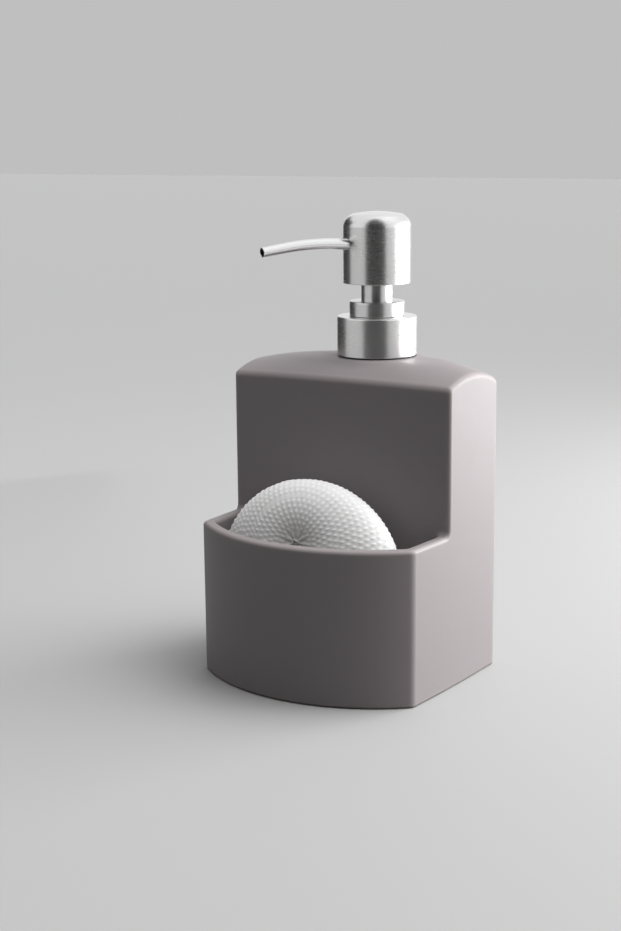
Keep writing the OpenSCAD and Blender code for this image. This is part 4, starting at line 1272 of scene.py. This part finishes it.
    def from_gather(self, points):
        """Each point's distance from the gather along the cover, and its direction."""
        flat = points[:, :2] - self.gather
        turn = np.arctan2(flat[:, 1], flat[:, 0])
        share = np.sin(np.linspace(0, np.pi/2, self.looks))
        half = len(self.paths[0][0])//2
        reach = np.array([out[half] for out, _, _ in self.paths])
        front, back = [
            np.array([np.interp(share, out[part][::way]/out[half], run[part][::way])
                      for out, _, run in self.paths])
            for part, way in ((slice(half + 1), 1), (slice(half, None), -1))]
        place = (turn + np.pi)/(2*np.pi)*(len(self.angles) - 1)
        i = np.clip(place.astype(int), 0, len(self.angles) - 2)
        mix = place - i
        limit = reach[i]*(1 - mix) + reach[i + 1]*mix
        part = np.arcsin(np.clip(off_axis(flat)/limit, 0, 1))/(np.pi/2)*(self.looks - 1)
        j = np.clip(part.astype(int), 0, self.looks - 2)
        rest = part - j

        def look(sheet):
            one, two = [sheet[k, j]*(1 - rest) + sheet[k, j + 1]*rest for k in (i, i + 1)]
            return one*(1 - mix) + two*mix

        return np.where(points[:, 2] > 0, look(front), look(back)), turn

    def row_table(self, count):
        """For each row, its running length against direction, in stitches."""
        places = np.arange(len(self.angles))
        top = np.interp(np.pi/2, self.angles, places)
        table = []
        for k in range(count):
            at = (k + 0.5)*self.sizes.row
            run = run_along(np.array([[np.interp(at, run, path[:, i]) for i in range(3)]
                                      for _, path, run in self.paths]))
            wide = np.interp(at, [6*MM, 14*MM, 24*MM], [1.8*MM, 2.2*MM, self.sizes.stitch])
            row = run/max(run[-1], 1e-9)*max(6, round(run[-1]/wide))
            # every row starts at the top
            table.append(row - np.interp(top, places, row))
        return table

    def tie(self, sizes):
        """The drawn yarn's knot in the gather."""
        front = self.bulge(np.hypot(*self.gather))
        middle = self.placed(np.array([*self.gather, front - sizes.gather_depth]))
        steps, sides = 120, 10
        t = np.linspace(0, 2*np.pi, steps, endpoint=False)
        ring = KNOT_R*(1 + 0.38*np.cos(3*t))
        path = np.column_stack([ring*np.cos(2*t), ring*np.sin(2*t), KNOT_H*np.sin(3*t)])
        ahead = unit(np.roll(path, -1, axis=0) - np.roll(path, 1, axis=0))
        side = unit(np.cross(ahead, [0, 0, 1]))
        points, _ = around(path, side, np.cross(side, ahead), YARN_R, sides)
        mesh_piece("gather_knot", "sponge_knot", "sponge", knitted_knot(sizes),
                   points @ self.place.T + middle, ring_quads(steps, sides))


def knitted_knot(sizes):
    """Twisted yarn for the knot."""
    finish = new_finish("knot_yarn")
    twist = finish.noise(2400, 3)
    # the knot's yarn is darkened: partly the gather's stain, partly painted shade
    base = finish.blend(twist, sizes.stain, shade(sizes.yarn, 0.6))
    return finish.surface(
        Base_Color=base, Roughness=0.88 + 0.08*(twist - 0.5),
        Normal=finish.bump(twist, 0.0002))


class CADDY_PT_panel(Panel):
    """Lists the steps that dress the caddy"""

    bl_label = "Soap pump caddy"
    bl_idname = "CADDY_PT_panel"
    bl_space_type = "VIEW_3D"
    bl_region_type = "UI"
    bl_category = "Caddy"

    def draw(self, context):
        for step in STEPS:
            self.layout.operator(step.bl_idname)
        for group in GROUPS:
            box = self.layout.box()
            sizes = getattr(context.scene, group)
            for key in sizes.bl_rna.properties.keys():
                if key not in {"rna_type", "name"}:
                    box.prop(sizes, key, text=key.replace("_", " ").capitalize())


STEPS = (CADDY_OT_stage, CADDY_OT_ceramic, CADDY_OT_sleeves, CADDY_OT_head, CADDY_OT_spout,
         CADDY_OT_pump, CADDY_OT_sponge)
GROUPS = {"caddy_ceramic": CeramicSizes, "caddy_steel": SteelSizes,
          "caddy_sponge": SpongeSizes, "caddy_stage": StageSizes}


def register():
    for group, kind in GROUPS.items():
        bpy.utils.register_class(kind)
        setattr(bpy.types.Scene, group, PointerProperty(type=kind))
    for kind in (*STEPS, CADDY_PT_panel):
        bpy.utils.register_class(kind)


def unregister():
    for kind in reversed((*STEPS, CADDY_PT_panel)):
        bpy.utils.unregister_class(kind)
    for group, kind in GROUPS.items():
        delattr(bpy.types.Scene, group)
        bpy.utils.unregister_class(kind)


def main():
    register()
    bpy.ops.caddy.stage()
    bpy.ops.caddy.ceramic()
    bpy.ops.caddy.sleeves()
    bpy.ops.caddy.head()
    bpy.ops.caddy.spout()
    bpy.ops.caddy.pump()
    bpy.ops.caddy.sponge()
    bpy.context.view_layer.update()


if __name__ == "__main__":
    main()
